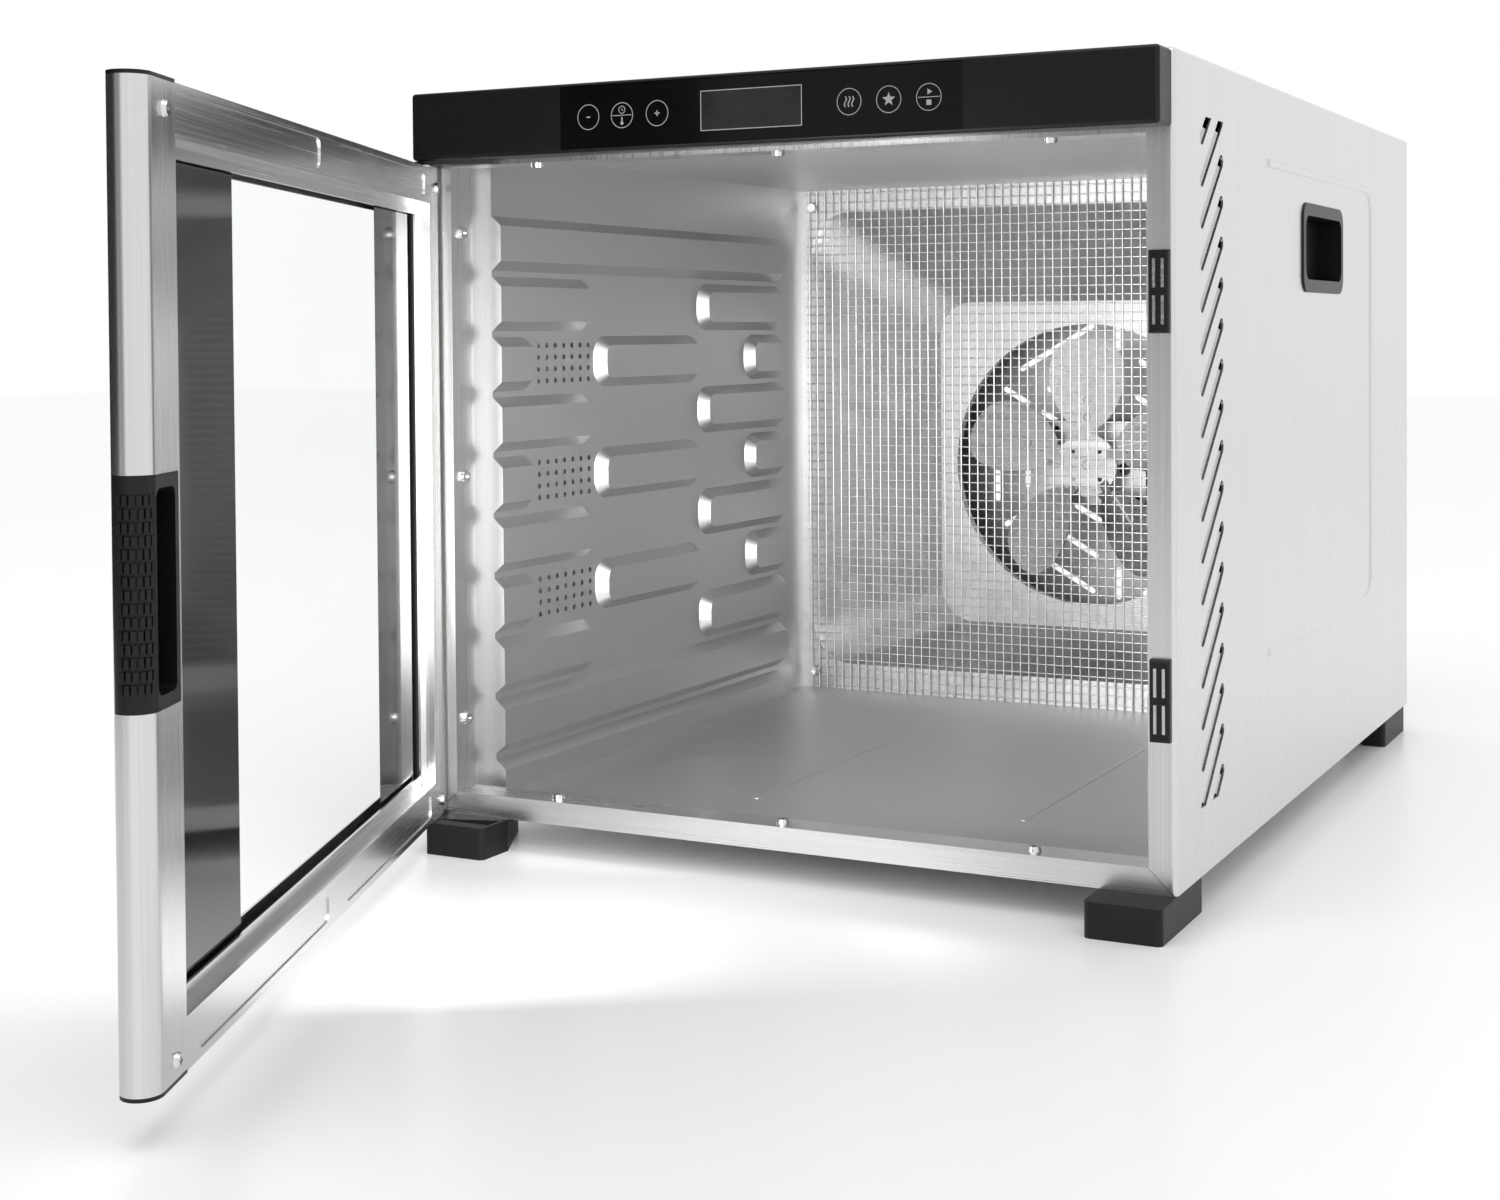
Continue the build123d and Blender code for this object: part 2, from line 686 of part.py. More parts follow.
with BuildPart() as guard_wires:
    with BuildSketch(Plane.XY.offset(guard_mid - columns_height / 2)):
        with Locations((0, columns_y)):
            with GridLocations(guard_pitch, 1, guard_columns, 1):
                Circle(guard_wire_radius)
    extrude(amount=columns_height)
    with BuildSketch(Plane.YZ.offset(-rows_width / 2)):
        with Locations((rows_y, guard_mid)):
            with GridLocations(1, guard_pitch, 1, guard_rows):
                Circle(guard_wire_radius)
    extrude(amount=rows_width)

guard_wires.part.label = "guard_wires"
export_step(guard_wires.part, "parts/guard_wires.step")

guard_face_y = columns_y - guard_wire_radius - guard_gap
guard_screw_tail = 1.5
guard_screw_length = partition_y - guard_face_y + liner_thickness + guard_screw_tail
guard_screws = pan_screws(
    [(upright(guard_face_y), guard_screw_points)],
    screw_head_radius,
    screw_head_height,
    screw_shank_radius,
    guard_screw_length,
)
guard_screws.part.label = "guard_screws"
export_step(guard_screws.part, "parts/guard_screws.step")

# ---------------------------------------------------------------- fan
# Five petal blades riveted to the arms of a spider on the motor's shaft.
fan_y = front_y + 398.0
blade_thickness = 0.8
blade_root_radius = 22.0
blade_root_half = 7.0
blade_belly_radius = 50.0
blade_belly_half = 22.0
blade_shoulder_radius = 66.0
blade_shoulder_half = 19.0
blade_tip_half = 9.0
spider_thickness = 1.0
spider_radius = 18.5
spider_hole_radius = 1.5
spider_hole_circle = 11.5
arm_start = 14.0
arm_end = 44.0
arm_root_half = 6.0
arm_tip_half = 3.0
rivet_places = (28.0, 38.0)
rivet_head_radius = 2.2
rivet_head_height = 0.8
rivet_shank_radius = 1.2
rivet_clearance = 0.03
hub_collar_radius = 6.0
hub_collar_length = 8.0
press_clearance = 0.02


def blade_plane(angle, towards_front):
    """The middle plane of a blade turned by angle, or one offset from it; x runs outwards."""
    outwards = Vector(sin(radians(angle)), 0, cos(radians(angle)))
    across = Vector(cos(radians(angle)), 0, -sin(radians(angle)))
    pitch = radians(blade_pitch_angle)
    normal = Vector(0, -cos(pitch), 0) + across * sin(pitch)
    origin = Vector(0, fan_y, fan_z) + normal * towards_front
    return Plane(origin=origin, x_dir=outwards, z_dir=normal)


blade_angles = [index * 360 / blade_count for index in range(blade_count)]

with BuildPart() as fan_blades:
    for angle in blade_angles:
        with BuildSketch(blade_plane(angle, -blade_thickness / 2)):
            with BuildLine():
                Line((blade_root_radius, blade_root_half), (blade_root_radius, -blade_root_half))
                Spline(
                    (blade_root_radius, -blade_root_half),
                    (blade_belly_radius, -blade_belly_half),
                    (blade_shoulder_radius, -blade_shoulder_half),
                    (blade_tip_radius - 1, -blade_tip_half),
                )
                ThreePointArc(
                    (blade_tip_radius - 1, -blade_tip_half),
                    (blade_tip_radius, 0),
                    (blade_tip_radius - 1, blade_tip_half),
                )
                Spline(
                    (blade_tip_radius - 1, blade_tip_half),
                    (blade_shoulder_radius, blade_shoulder_half),
                    (blade_belly_radius, blade_belly_half),
                    (blade_root_radius, blade_root_half),
                )
            make_face()
            with Locations(*[(place, 0) for place in rivet_places]):
                Circle(rivet_shank_radius + rivet_clearance, mode=Mode.SUBTRACT)
        extrude(amount=blade_thickness)

fan_blades.part.label = "fan_blades"
export_step(fan_blades.part, "parts/fan_blades.step")

with BuildPart() as fan_spider:
    with BuildSketch(upright(fan_y - spider_thickness)):
        with Locations((0, fan_z)):
            Circle(spider_radius)
    extrude(amount=-spider_thickness)
    with BuildSketch(upright(fan_y)):
        with Locations((0, fan_z)):
            Circle(hub_collar_radius)
    extrude(amount=-hub_collar_length)
    for angle in blade_angles:
        with BuildSketch(blade_plane(angle, blade_thickness / 2)):
            Polygon(
                (arm_start, arm_root_half),
                (arm_start, -arm_root_half),
                (arm_end, -arm_tip_half),
                (arm_end, arm_tip_half),
                align=None,
            )
        extrude(amount=spider_thickness)
        with BuildSketch(blade_plane(angle, blade_thickness / 2)):
            with Locations(*[(place, 0) for place in rivet_places]):
                Circle(rivet_shank_radius + rivet_clearance)
        extrude(amount=spider_thickness, mode=Mode.SUBTRACT)
    with BuildSketch(upright(fan_y - 2 * spider_thickness)):
        with Locations((0, fan_z)):
            Circle(shaft_radius + press_clearance)
            with PolarLocations(spider_hole_circle, 4, start_angle=45):
                Circle(spider_hole_radius)
    extrude(amount=-hub_collar_length - 3 * spider_thickness, mode=Mode.SUBTRACT)

fan_spider.part.label = "fan_spider"
export_step(fan_spider.part, "parts/fan_spider.step")

with BuildPart() as fan_rivets:
    for angle in blade_angles:
        places = [(place, 0) for place in rivet_places]
        with BuildSketch(blade_plane(angle, blade_thickness / 2 + spider_thickness)):
            with Locations(*places):
                Circle(rivet_head_radius)
        extrude(amount=rivet_head_height, taper=30)
        with BuildSketch(blade_plane(angle, -blade_thickness / 2)):
            with Locations(*places):
                Circle(rivet_shank_radius)
        extrude(amount=blade_thickness + spider_thickness)
        with BuildSketch(blade_plane(angle, -blade_thickness / 2 - rivet_head_height / 2)):
            with Locations(*places):
                Circle(rivet_head_radius)
        extrude(amount=rivet_head_height / 2)

fan_rivets.part.label = "fan_rivets"
export_step(fan_rivets.part, "parts/fan_rivets.step")

# ---------------------------------------------------------------- motor
# A shaded-pole motor behind the fan: laminated frame with a coil on its side limb, and a bearing
# bracket in front and behind. Four posts carry it on the rear cover.
stator_front_y = front_y + 418.0
stator_length = 20.0
stator_bore_radius = 15.3
rotor_radius = 15.0
rotor_length = 15.0
bracket_thickness = 1.5
bearing_radius = 6.0
bearing_length = 6.5
shaft_front_y = fan_y - 3.0
shaft_chamfer = 0.4
shaft_rear_y = front_y + 446.0
limb_width = 12.0
limb_x = motor_width / 2 + 16.0
window_height = 26.0
coil_clearance = 0.3
coil_height = 24.0
coil_thickness = 6.0
motor_window_width = 16.0
post_radius = 4.0
stator_rear_y = stator_front_y + stator_length
bracket_window_radius = 7.0
bracket_window_x = 17.0

with BuildPart() as motor_shaft:
    with BuildSketch(upright(shaft_front_y)):
        with Locations((0, fan_z)):
            Circle(shaft_radius)
    extrude(amount=shaft_front_y - shaft_rear_y)
    chamfer(motor_shaft.edges().group_by(Axis.Y)[0], shaft_chamfer)

motor_shaft.part.label = "motor_shaft"
export_step(motor_shaft.part, "parts/motor_shaft.step")

rotor_front_y = stator_front_y + (stator_length - rotor_length) / 2
with BuildPart() as motor_rotor:
    with BuildSketch(upright(rotor_front_y)):
        with Locations((0, fan_z)):
            Circle(rotor_radius)
            Circle(shaft_radius + press_clearance, mode=Mode.SUBTRACT)
    extrude(amount=-rotor_length)

motor_rotor.part.label = "motor_rotor"
export_step(motor_rotor.part, "parts/motor_rotor.step")

with BuildPart() as motor_stator:
    with BuildSketch(upright(stator_front_y)):
        with Locations((0, fan_z)):
            Rectangle(motor_width, motor_height)
        with Locations(((motor_width / 2 + limb_x + limb_width / 2) / 2, fan_z)):
            Rectangle(limb_x + limb_width / 2 - motor_width / 2, motor_height)
        with Locations((limb_x - limb_width / 2 - motor_window_width / 2, fan_z)):
            Rectangle(motor_window_width, window_height, mode=Mode.SUBTRACT)
        with Locations((0, fan_z)):
            Circle(stator_bore_radius, mode=Mode.SUBTRACT)
        with Locations(*motor_post_places):
            Circle(screw_hole_radius, mode=Mode.SUBTRACT)
    extrude(amount=-stator_length)

motor_stator.part.label = "motor_stator"
export_step(motor_stator.part, "parts/motor_stator.step")

coil_half = limb_width / 2 + coil_clearance
with BuildPart() as motor_coil:
    with BuildSketch(Plane.XY.offset(fan_z - coil_height / 2)):
        with Locations((limb_x, stator_front_y + stator_length / 2)):
            RectangleRounded(
                2 * (coil_half + coil_thickness),
                stator_length + 2 * (coil_clearance + coil_thickness),
                coil_thickness / 2,
            )
            Rectangle(2 * coil_half, stator_length + 2 * coil_clearance, mode=Mode.SUBTRACT)
    extrude(amount=coil_height)

motor_coil.part.label = "motor_coil"
export_step(motor_coil.part, "parts/motor_coil.step")


def bearing_bracket(near_y):
    """A plate on one end of the stator, bored for a bearing and for the long screws."""
    with BuildPart() as bracket:
        with BuildSketch(upright(near_y)):
            with Locations((0, fan_z)):
                RectangleRounded(motor_width, motor_height, post_radius)
                Circle(bearing_radius + press_clearance, mode=Mode.SUBTRACT)
            with Locations((-bracket_window_x, fan_z), (bracket_window_x, fan_z)):
                SlotCenterToCenter(
                    bracket_window_radius, bracket_window_radius, rotation=90, mode=Mode.SUBTRACT
                )
            with Locations(*motor_post_places):
                Circle(screw_hole_radius, mode=Mode.SUBTRACT)
        extrude(amount=-bracket_thickness)
    return bracket


motor_front_bracket = bearing_bracket(stator_front_y - bracket_thickness)
motor_front_bracket.part.label = "motor_front_bracket"
export_step(motor_front_bracket.part, "parts/motor_front_bracket.step")

motor_rear_bracket = bearing_bracket(stator_rear_y)
motor_rear_bracket.part.label = "motor_rear_bracket"
export_step(motor_rear_bracket.part, "parts/motor_rear_bracket.step")

# each bearing ends a hair short of the rotor, outside its bracket
bearing_end_gap = 0.5
with BuildPart() as motor_bearings:
    for bearing_y in (
        rotor_front_y - bearing_end_gap - bearing_length,
        rotor_front_y + rotor_length + bearing_end_gap,
    ):
        with BuildSketch(upright(bearing_y)):
            with Locations((0, fan_z)):
                Circle(bearing_radius)
                Circle(shaft_radius + running_gap, mode=Mode.SUBTRACT)
        extrude(amount=-bearing_length)

motor_bearings.part.label = "motor_bearings"
export_step(motor_bearings.part, "parts/motor_bearings.step")

with BuildPart() as motor_posts:
    with BuildSketch(upright(stator_rear_y + bracket_thickness)):
        with Locations(*motor_post_places):
            Circle(post_radius)
            Circle(screw_hole_radius, mode=Mode.SUBTRACT)
    extrude(amount=stator_rear_y + bracket_thickness - rear_y)

motor_posts.part.label = "motor_posts"
export_step(motor_posts.part, "parts/motor_posts.step")

# ---------------------------------------------------------------- heater and its controls
heater_ring_radius = 95.0
heater_tube_radius = 3.5
heater_y = front_y + 411.0
heater_gap_angle = 16.0
heater_leg_length = 26.0
clip_angles = (45, 135, 225, 315)
clip_wall = 1.0
clip_width = 8.0
clip_gap = 0.15  # the bore is straight and the tube in it is curved
clip_foot_length = 10.0
clip_reach = heater_y - shroud_floor_y - liner_thickness

with BuildPart() as heating_element:
    with BuildLine() as heater_path:
        CenterArc((0, 0), heater_ring_radius, -90 + heater_gap_angle / 2, 360 - heater_gap_angle)
    ring_path = Plane(origin=(0, heater_y, fan_z), x_dir=(1, 0, 0), z_dir=(0, -1, 0)).from_local_coords(
        heater_path.wires()[0]
    )
    with BuildSketch(Plane(origin=ring_path @ 0, z_dir=ring_path % 0)):
        Circle(heater_tube_radius)
    sweep(path=ring_path)
    for end in (0, 1):
        tip = ring_path @ end
        with Locations(tip):
            Sphere(heater_tube_radius)
        with BuildSketch(upright(tip.Y)):
            with Locations((tip.X, tip.Z)):
                Circle(heater_tube_radius)
        extrude(amount=-heater_leg_length)

heating_element.part.label = "heating_element"
export_step(heating_element.part, "parts/heating_element.step")

with BuildPart() as heater_clips:
    for angle in clip_angles:
        outwards = Vector(cos(radians(angle)), 0, sin(radians(angle)))
        along = Vector(-sin(radians(angle)), 0, cos(radians(angle)))
        centre = Vector(0, heater_y, fan_z) + outwards * heater_ring_radius
        with BuildSketch(Plane(origin=centre, x_dir=outwards, z_dir=along)):
            Circle(heater_tube_radius + clip_gap + clip_wall)
            with Locations((0, -clip_reach / 2 - heater_tube_radius / 2)):
                Rectangle(clip_wall, clip_reach - heater_tube_radius)
            with Locations((-clip_foot_length / 2 + clip_wall, -clip_reach + clip_wall / 2)):
                Rectangle(clip_foot_length, clip_wall)
            Circle(heater_tube_radius + clip_gap, mode=Mode.SUBTRACT)
        extrude(amount=clip_width / 2, both=True)

heater_clips.part.label = "heater_clips"
export_step(heater_clips.part, "parts/heater_clips.step")

sensor_flange_radius = 5.0
sensor_flange_thickness = 1.5
sensor_reach = 10.0
with BuildPart() as temperature_sensor:
    with BuildSketch(upright(shroud_floor_y + liner_thickness)):
        with Locations((sensor_offset, fan_z + sensor_offset)):
            RegularPolygon(sensor_flange_radius, 6)
    extrude(amount=-sensor_flange_thickness)
    with BuildSketch(upright(shroud_floor_y - sensor_reach)):
        with Locations((sensor_offset, fan_z + sensor_offset)):
            Circle(sensor_hole_radius - clip_gap)
    extrude(amount=-sensor_reach - liner_thickness - sensor_reach)
    fillet(temperature_sensor.edges().group_by(Axis.Y)[0], sensor_hole_radius / 2)

temperature_sensor.part.label = "temperature_sensor"
export_step(temperature_sensor.part, "parts/temperature_sensor.step")

cutout_offset = sensor_offset - 2.0
cutout_radius = 8.0
cutout_height = 9.0
cutout_ear = 26.0
cutout_plate = 1.0
with BuildPart() as thermal_cutout:
    with BuildSketch(upright(shroud_floor_y + liner_thickness)):
        with Locations((-cutout_offset, fan_z + cutout_offset)):
            SlotOverall(cutout_ear, cutout_radius, rotation=45)
    extrude(amount=-cutout_plate)
    with BuildSketch(upright(shroud_floor_y + liner_thickness)):
        with Locations((-cutout_offset, fan_z + cutout_offset)):
            Circle(cutout_radius)
    extrude(amount=-cutout_height)

thermal_cutout.part.label = "thermal_cutout"
export_step(thermal_cutout.part, "parts/thermal_cutout.step")

# ---------------------------------------------------------------- control housing
# A black moulding in front of the lintel, open at the back, with a ledge that the touch glass
# lies on.
panel_edge_radius = 1.6
glass_margin = 1.5  # from the glass to the top and the bottom of the housing
glass_clearance = 0.15
glass_edge = 0.2
panel_half = body_width / 2 - panel_side_inset
panel_front_y = front_y - panel_depth
ledge_width = 4.5
board_width = 188.0
board_height = 22.0
board_thickness = 1.6
board_y = front_y - 9.0
board_post_x = 91.0
board_post_z = 7.0
board_post_radius = 2.0
housing_boss_radius = 4.0
housing_screw_hole = 0.05
housing_screw_length = 9.0
glass_panel_height = panel_height - 2 * glass_margin
tab_thickness = 1.5
tab_clearance = 0.3

with BuildPart() as control_housing:
    with BuildSketch(upright(front_y)):
        with Locations((0, housing_mid)):
            Rectangle(2 * panel_half, panel_height)
    extrude(amount=panel_depth)
    fillet(control_housing.edges().filter_by(Axis.Y), panel_edge_radius)
    fillet(control_housing.faces().sort_by(Axis.Y)[0].edges(), panel_edge_radius)
    with BuildSketch(upright(front_y)):
        with Locations((0, housing_mid)):
            Rectangle(2 * (panel_half - panel_wall), panel_height - 2 * panel_wall)
    extrude(amount=panel_depth - panel_wall, mode=Mode.SUBTRACT)
    # bed of the touch glass, and the window inside its ledge
    with BuildSketch(upright(panel_front_y)):
        with Locations((0, housing_mid)):
            Rectangle(
                glass_panel_width + 2 * glass_clearance, glass_panel_height + 2 * glass_clearance
            )
    extrude(amount=-glass_panel_thickness, mode=Mode.SUBTRACT)
    with BuildSketch(upright(panel_front_y)):
        with Locations((0, housing_mid)):
            Rectangle(glass_panel_width - 2 * ledge_width, glass_panel_height - 2 * ledge_width)
    extrude(amount=-panel_wall, mode=Mode.SUBTRACT)
    # posts that the control board is glued to, and the two screw bosses
    with BuildSketch(upright(board_y)):
        with Locations((0, housing_mid)):
            with GridLocations(2 * board_post_x, 2 * board_post_z, 2, 2):
                Circle(board_post_radius)
    extrude(amount=board_y - panel_front_y - panel_wall)
    with BuildSketch(upright(front_y)):
        with Locations((-housing_screw_x, housing_mid), (housing_screw_x, housing_mid)):
            Circle(housing_boss_radius)
    extrude(amount=panel_depth - panel_wall)
    with BuildSketch(upright(front_y)):
        with Locations((-housing_screw_x, housing_mid), (housing_screw_x, housing_mid)):
            Circle(screw_shank_radius + housing_screw_hole)
    extrude(amount=housing_screw_length, mode=Mode.SUBTRACT)
    # notch for the tab of the upper hinge plate
    with BuildSketch(upright(front_y)):
        with Locations((hinge_tab_x, housing_bottom + panel_wall / 2)):
            Rectangle(hinge_tab_width + 2 * tab_clearance, panel_wall)
    extrude(amount=tab_thickness + tab_clearance, mode=Mode.SUBTRACT)

control_housing.part.label = "control_housing"
export_step(control_housing.part, "parts/control_housing.step")

with BuildPart() as touch_glass:
    with BuildSketch(upright(panel_front_y)):
        with Locations((0, housing_mid)):
            Rectangle(glass_panel_width, glass_panel_height)
    extrude(amount=-glass_panel_thickness)
    chamfer(touch_glass.faces().sort_by(Axis.Y)[0].edges(), glass_edge)

touch_glass.part.label = "touch_glass"
export_step(touch_glass.part, "parts/touch_glass.step")

with BuildPart() as control_board:
    with BuildSketch(upright(board_y)):
        with Locations((0, housing_mid)):
            Rectangle(board_width, board_height)
    extrude(amount=-board_thickness)

control_board.part.label = "control_board"
export_step(control_board.part, "parts/control_board.step")

display_width = 50.0
display_height = 16.0
display_gap = 0.3
display_edge = 0.5
with BuildPart() as display_module:
    with BuildSketch(upright(board_y)):
        with Locations((0, housing_mid)):
            Rectangle(display_width, display_height)
    extrude(amount=board_y - panel_front_y - glass_panel_thickness - display_gap)
    chamfer(display_module.faces().sort_by(Axis.Y)[0].edges(), display_edge)

display_module.part.label = "display_module"
export_step(display_module.part, "parts/display_module.step")

# ---------------------------------------------------------------- power board
# It stands on four posts on the ceiling liner, below the top of the shell.
power_width = 120.0
power_depth = 80.0
power_front_y = front_y + 60.0
power_post_height = 3.0
power_post_radius = 3.0
power_post_inset = 6.0
power_z = ceiling_bottom + liner_thickness + power_post_height
ribbon_width = 20.0
ribbon_thickness = 1.0
connector_depth = 6.0
connector_side = 2.0
parts_base_z = power_z + board_thickness
block_radius = 1.0
board_blocks = [  # centre, width, depth and height
    ((-34.0, 52.0), 32.0, 28.0, 13.0),
    ((30.0, 60.0), 20.0, 16.0, 12.0),
    ((44.0, 24.0), 10.0, 30.0, 9.0),
]
capacitor_places = [(2.0, 30.0), (2.0, 48.0)]
capacitor_radius = 5.0
capacitor_height = 11.0

with BuildPart() as board_standoffs:
    with BuildSketch(Plane.XY.offset(ceiling_bottom + liner_thickness)):
        with Locations((0, power_front_y + power_depth / 2)):
            with GridLocations(power_width - 2 * power_post_inset, power_depth - 2 * power_post_inset, 2, 2):
                RegularPolygon(power_post_radius, 6)
    extrude(amount=power_post_height)

board_standoffs.part.label = "board_standoffs"
export_step(board_standoffs.part, "parts/board_standoffs.step")

with BuildPart() as power_board:
    with BuildSketch(Plane.XY.offset(power_z)):
        with Locations((0, power_front_y + power_depth / 2)):
            Rectangle(power_width, power_depth)
    extrude(amount=board_thickness)
    # connector for the ribbon cable
    with BuildSketch(Plane.XY.offset(parts_base_z)):
        with Locations((0, power_front_y + connector_depth / 2)):
            Rectangle(ribbon_width + 2 * connector_side, connector_depth)
    extrude(amount=housing_mid + ribbon_thickness / 2 + connector_side - parts_base_z)
    # transformer, relay and terminal strip
    for (x, y), width, depth, height in board_blocks:
        with BuildSketch(Plane.XY.offset(parts_base_z)):
            with Locations((x, power_front_y + y)):
                RectangleRounded(width, depth, block_radius)
        extrude(amount=height)
    with BuildSketch(Plane.XY.offset(parts_base_z)):
        with Locations(*[(x, power_front_y + y) for x, y in capacitor_places]):
            Circle(capacitor_radius)
    extrude(amount=capacitor_height)

power_board.part.label = "power_board"
export_step(power_board.part, "parts/power_board.step")

with BuildPart() as ribbon_cable:
    with BuildSketch(upright(board_y + board_thickness)):
        with Locations((0, housing_mid)):
            Rectangle(ribbon_width, ribbon_thickness)
    extrude(amount=board_y + board_thickness - power_front_y)

ribbon_cable.part.label = "ribbon_cable"
export_step(ribbon_cable.part, "parts/ribbon_cable.step")

# ---------------------------------------------------------------- mains inlet
# A flanged three-pin socket in the rear cover.
inlet_flange_width = 50.0
inlet_flange_height = 24.0
inlet_flange_thickness = 2.5
inlet_flange_radius = 5.0
inlet_body_depth = 22.0
inlet_cavity_width = 24.6
inlet_cavity_height = 16.6
inlet_cavity_depth = 17.0
inlet_cavity_radius = 2.0
pin_width = 2.0
pin_height = 6.3
pin_length = 13.0
pin_root = 12.0
pin_side_x = 7.0
pin_side_z = -2.0
pin_earth_z = 2.0
pin_slot_gap = 0.05
pin_tip_chamfer = 0.4
cover_rear_y = rear_y + shell_thickness
inlet_rear_y = cover_rear_y + inlet_flange_thickness
pin_points = [
    (inlet_x - pin_side_x, inlet_z + pin_side_z),
    (inlet_x, inlet_z + pin_earth_z),
    (inlet_x + pin_side_x, inlet_z + pin_side_z),
]

with BuildPart() as mains_inlet:
    with BuildSketch(upright(cover_rear_y)):
        with Locations((inlet_x, inlet_z)):
            RectangleRounded(inlet_flange_width, inlet_flange_height, inlet_flange_radius)
            with GridLocations(inlet_screw_spacing, 1, 2, 1):
                Circle(screw_hole_radius, mode=Mode.SUBTRACT)
    extrude(amount=-inlet_flange_thickness)
    with BuildSketch(upright(cover_rear_y)):
        with Locations((inlet_x, inlet_z)):
            Rectangle(inlet_body_width, inlet_body_height)
    extrude(amount=inlet_body_depth)
    with BuildSketch(upright(inlet_rear_y)):
        with Locations((inlet_x, inlet_z)):
            RectangleRounded(inlet_cavity_width, inlet_cavity_height, inlet_cavity_radius)
    extrude(amount=inlet_cavity_depth, mode=Mode.SUBTRACT)
    with BuildSketch(upright(inlet_rear_y - inlet_cavity_depth)):
        with Locations(*pin_points):
            Rectangle(pin_width + 2 * pin_slot_gap, pin_height + 2 * pin_slot_gap)
    extrude(amount=inlet_body_depth, mode=Mode.SUBTRACT)

mains_inlet.part.label = "mains_inlet"
export_step(mains_inlet.part, "parts/mains_inlet.step")

with BuildPart() as inlet_pins:
    with BuildSketch(upright(inlet_rear_y - inlet_cavity_depth - pin_root)):
        with Locations(*pin_points):
            Rectangle(pin_width, pin_height)
    extrude(amount=-pin_root - pin_length)
    chamfer(inlet_pins.faces().group_by(Axis.Y)[-1].edges(), pin_tip_chamfer)

inlet_pins.part.label = "inlet_pins"
export_step(inlet_pins.part, "parts/inlet_pins.step")

inlet_face = Plane(origin=(0, inlet_rear_y, 0), x_dir=(-1, 0, 0), z_dir=(0, 1, 0))
inlet_screws = pan_screws(
    [(inlet_face, [(-inlet_x + side * inlet_screw_spacing / 2, inlet_z) for side in (-1, 1)])],
    cover_screw_head_radius,
    screw_head_height,
    screw_shank_radius,
    cover_screw_length,
)
inlet_screws.part.label = "inlet_screws"
export_step(inlet_screws.part, "parts/inlet_screws.step")

# ---------------------------------------------------------------- hinge plates and pins
# The door turns on one pin in each plate. The upper plate hangs on the lintel inside the control
# housing; the lower one lies between the pan and the front left foot.
axis_x = left_x - door_overhang + pin_from_edge
axis_y = front_y - door_gap - pin_from_inner_face
hinge_nose_radius = 6.0
hinge_plate_left = axis_x - hinge_nose_radius
hinge_plate_right = hinge_plate_left + hinge_plate_width
hinge_plate_tail = 12.0
hinge_plate_reach = 3.7
pin_depth = 10.5
pin_hole_gap = 0.02
hinge_top_z = housing_bottom
hinge_lower_z = body_bottom - hinge_plate_thickness


def hinge_outline(rear_edge_y):
    """Plan of a hinge plate as a face: a round nose at the pin and a straight tail."""
    with BuildSketch() as outline:
        Polygon(
            (hinge_plate_left, axis_y),
            (axis_x, axis_y - hinge_nose_radius),
            (axis_x + hinge_nose_radius / 2, axis_y - hinge_nose_radius),
            (hinge_plate_right, front_y - hinge_plate_reach),
            (hinge_plate_right, rear_edge_y),
            (hinge_plate_left, rear_edge_y),
            align=None,
        )
        with Locations((axis_x, axis_y)):
            Circle(hinge_nose_radius)
        with Locations((axis_x, axis_y)):
            Circle(pin_radius + pin_hole_gap, mode=Mode.SUBTRACT)
    return outline


with BuildPart() as hinge_plate_lower:
    add(Pos(0, 0, hinge_lower_z) * hinge_outline(front_y + hinge_plate_tail).sketch)
    extrude(amount=hinge_plate_thickness)
    with BuildSketch(Plane.XY.offset(hinge_lower_z)):
        with Locations(front_left_points[0]):
            Circle(screw_hole_radius)
    extrude(amount=hinge_plate_thickness, mode=Mode.SUBTRACT)

hinge_plate_lower.part.label = "hinge_plate_lower"
export_step(hinge_plate_lower.part, "parts/hinge_plate_lower.step")

with BuildPart() as hinge_plate_upper:
    add(Pos(0, 0, hinge_top_z - hinge_plate_thickness) * hinge_outline(front_y).sketch)
    extrude(amount=hinge_plate_thickness)
    with BuildSketch(upright(front_y)):
        with Locations((hinge_tab_x, hinge_top_z + hinge_tab_height / 2)):
            Rectangle(hinge_tab_width, hinge_tab_height)
        with Locations((hinge_tab_x, hinge_tab_screw_z)):
            with GridLocations(hinge_tab_screw_spacing, 1, 2, 1):
                Circle(screw_hole_radius, mode=Mode.SUBTRACT)
    extrude(amount=tab_thickness)

hinge_plate_upper.part.label = "hinge_plate_upper"
export_step(hinge_plate_upper.part, "parts/hinge_plate_upper.step")

with BuildPart() as hinge_pins:
    with BuildSketch(Plane.XY.offset(hinge_lower_z)):
        with Locations((axis_x, axis_y)):
            Circle(pin_radius)
    extrude(amount=hinge_plate_thickness + pin_depth)
    with BuildSketch(Plane.XY.offset(hinge_top_z)):
        with Locations((axis_x, axis_y)):
            Circle(pin_radius)
    extrude(amount=-hinge_plate_thickness - pin_depth)

hinge_pins.part.label = "hinge_pins"
export_step(hinge_pins.part, "parts/hinge_pins.step")

# ---------------------------------------------------------------- feet
foot_screw_head_radius = 3.6


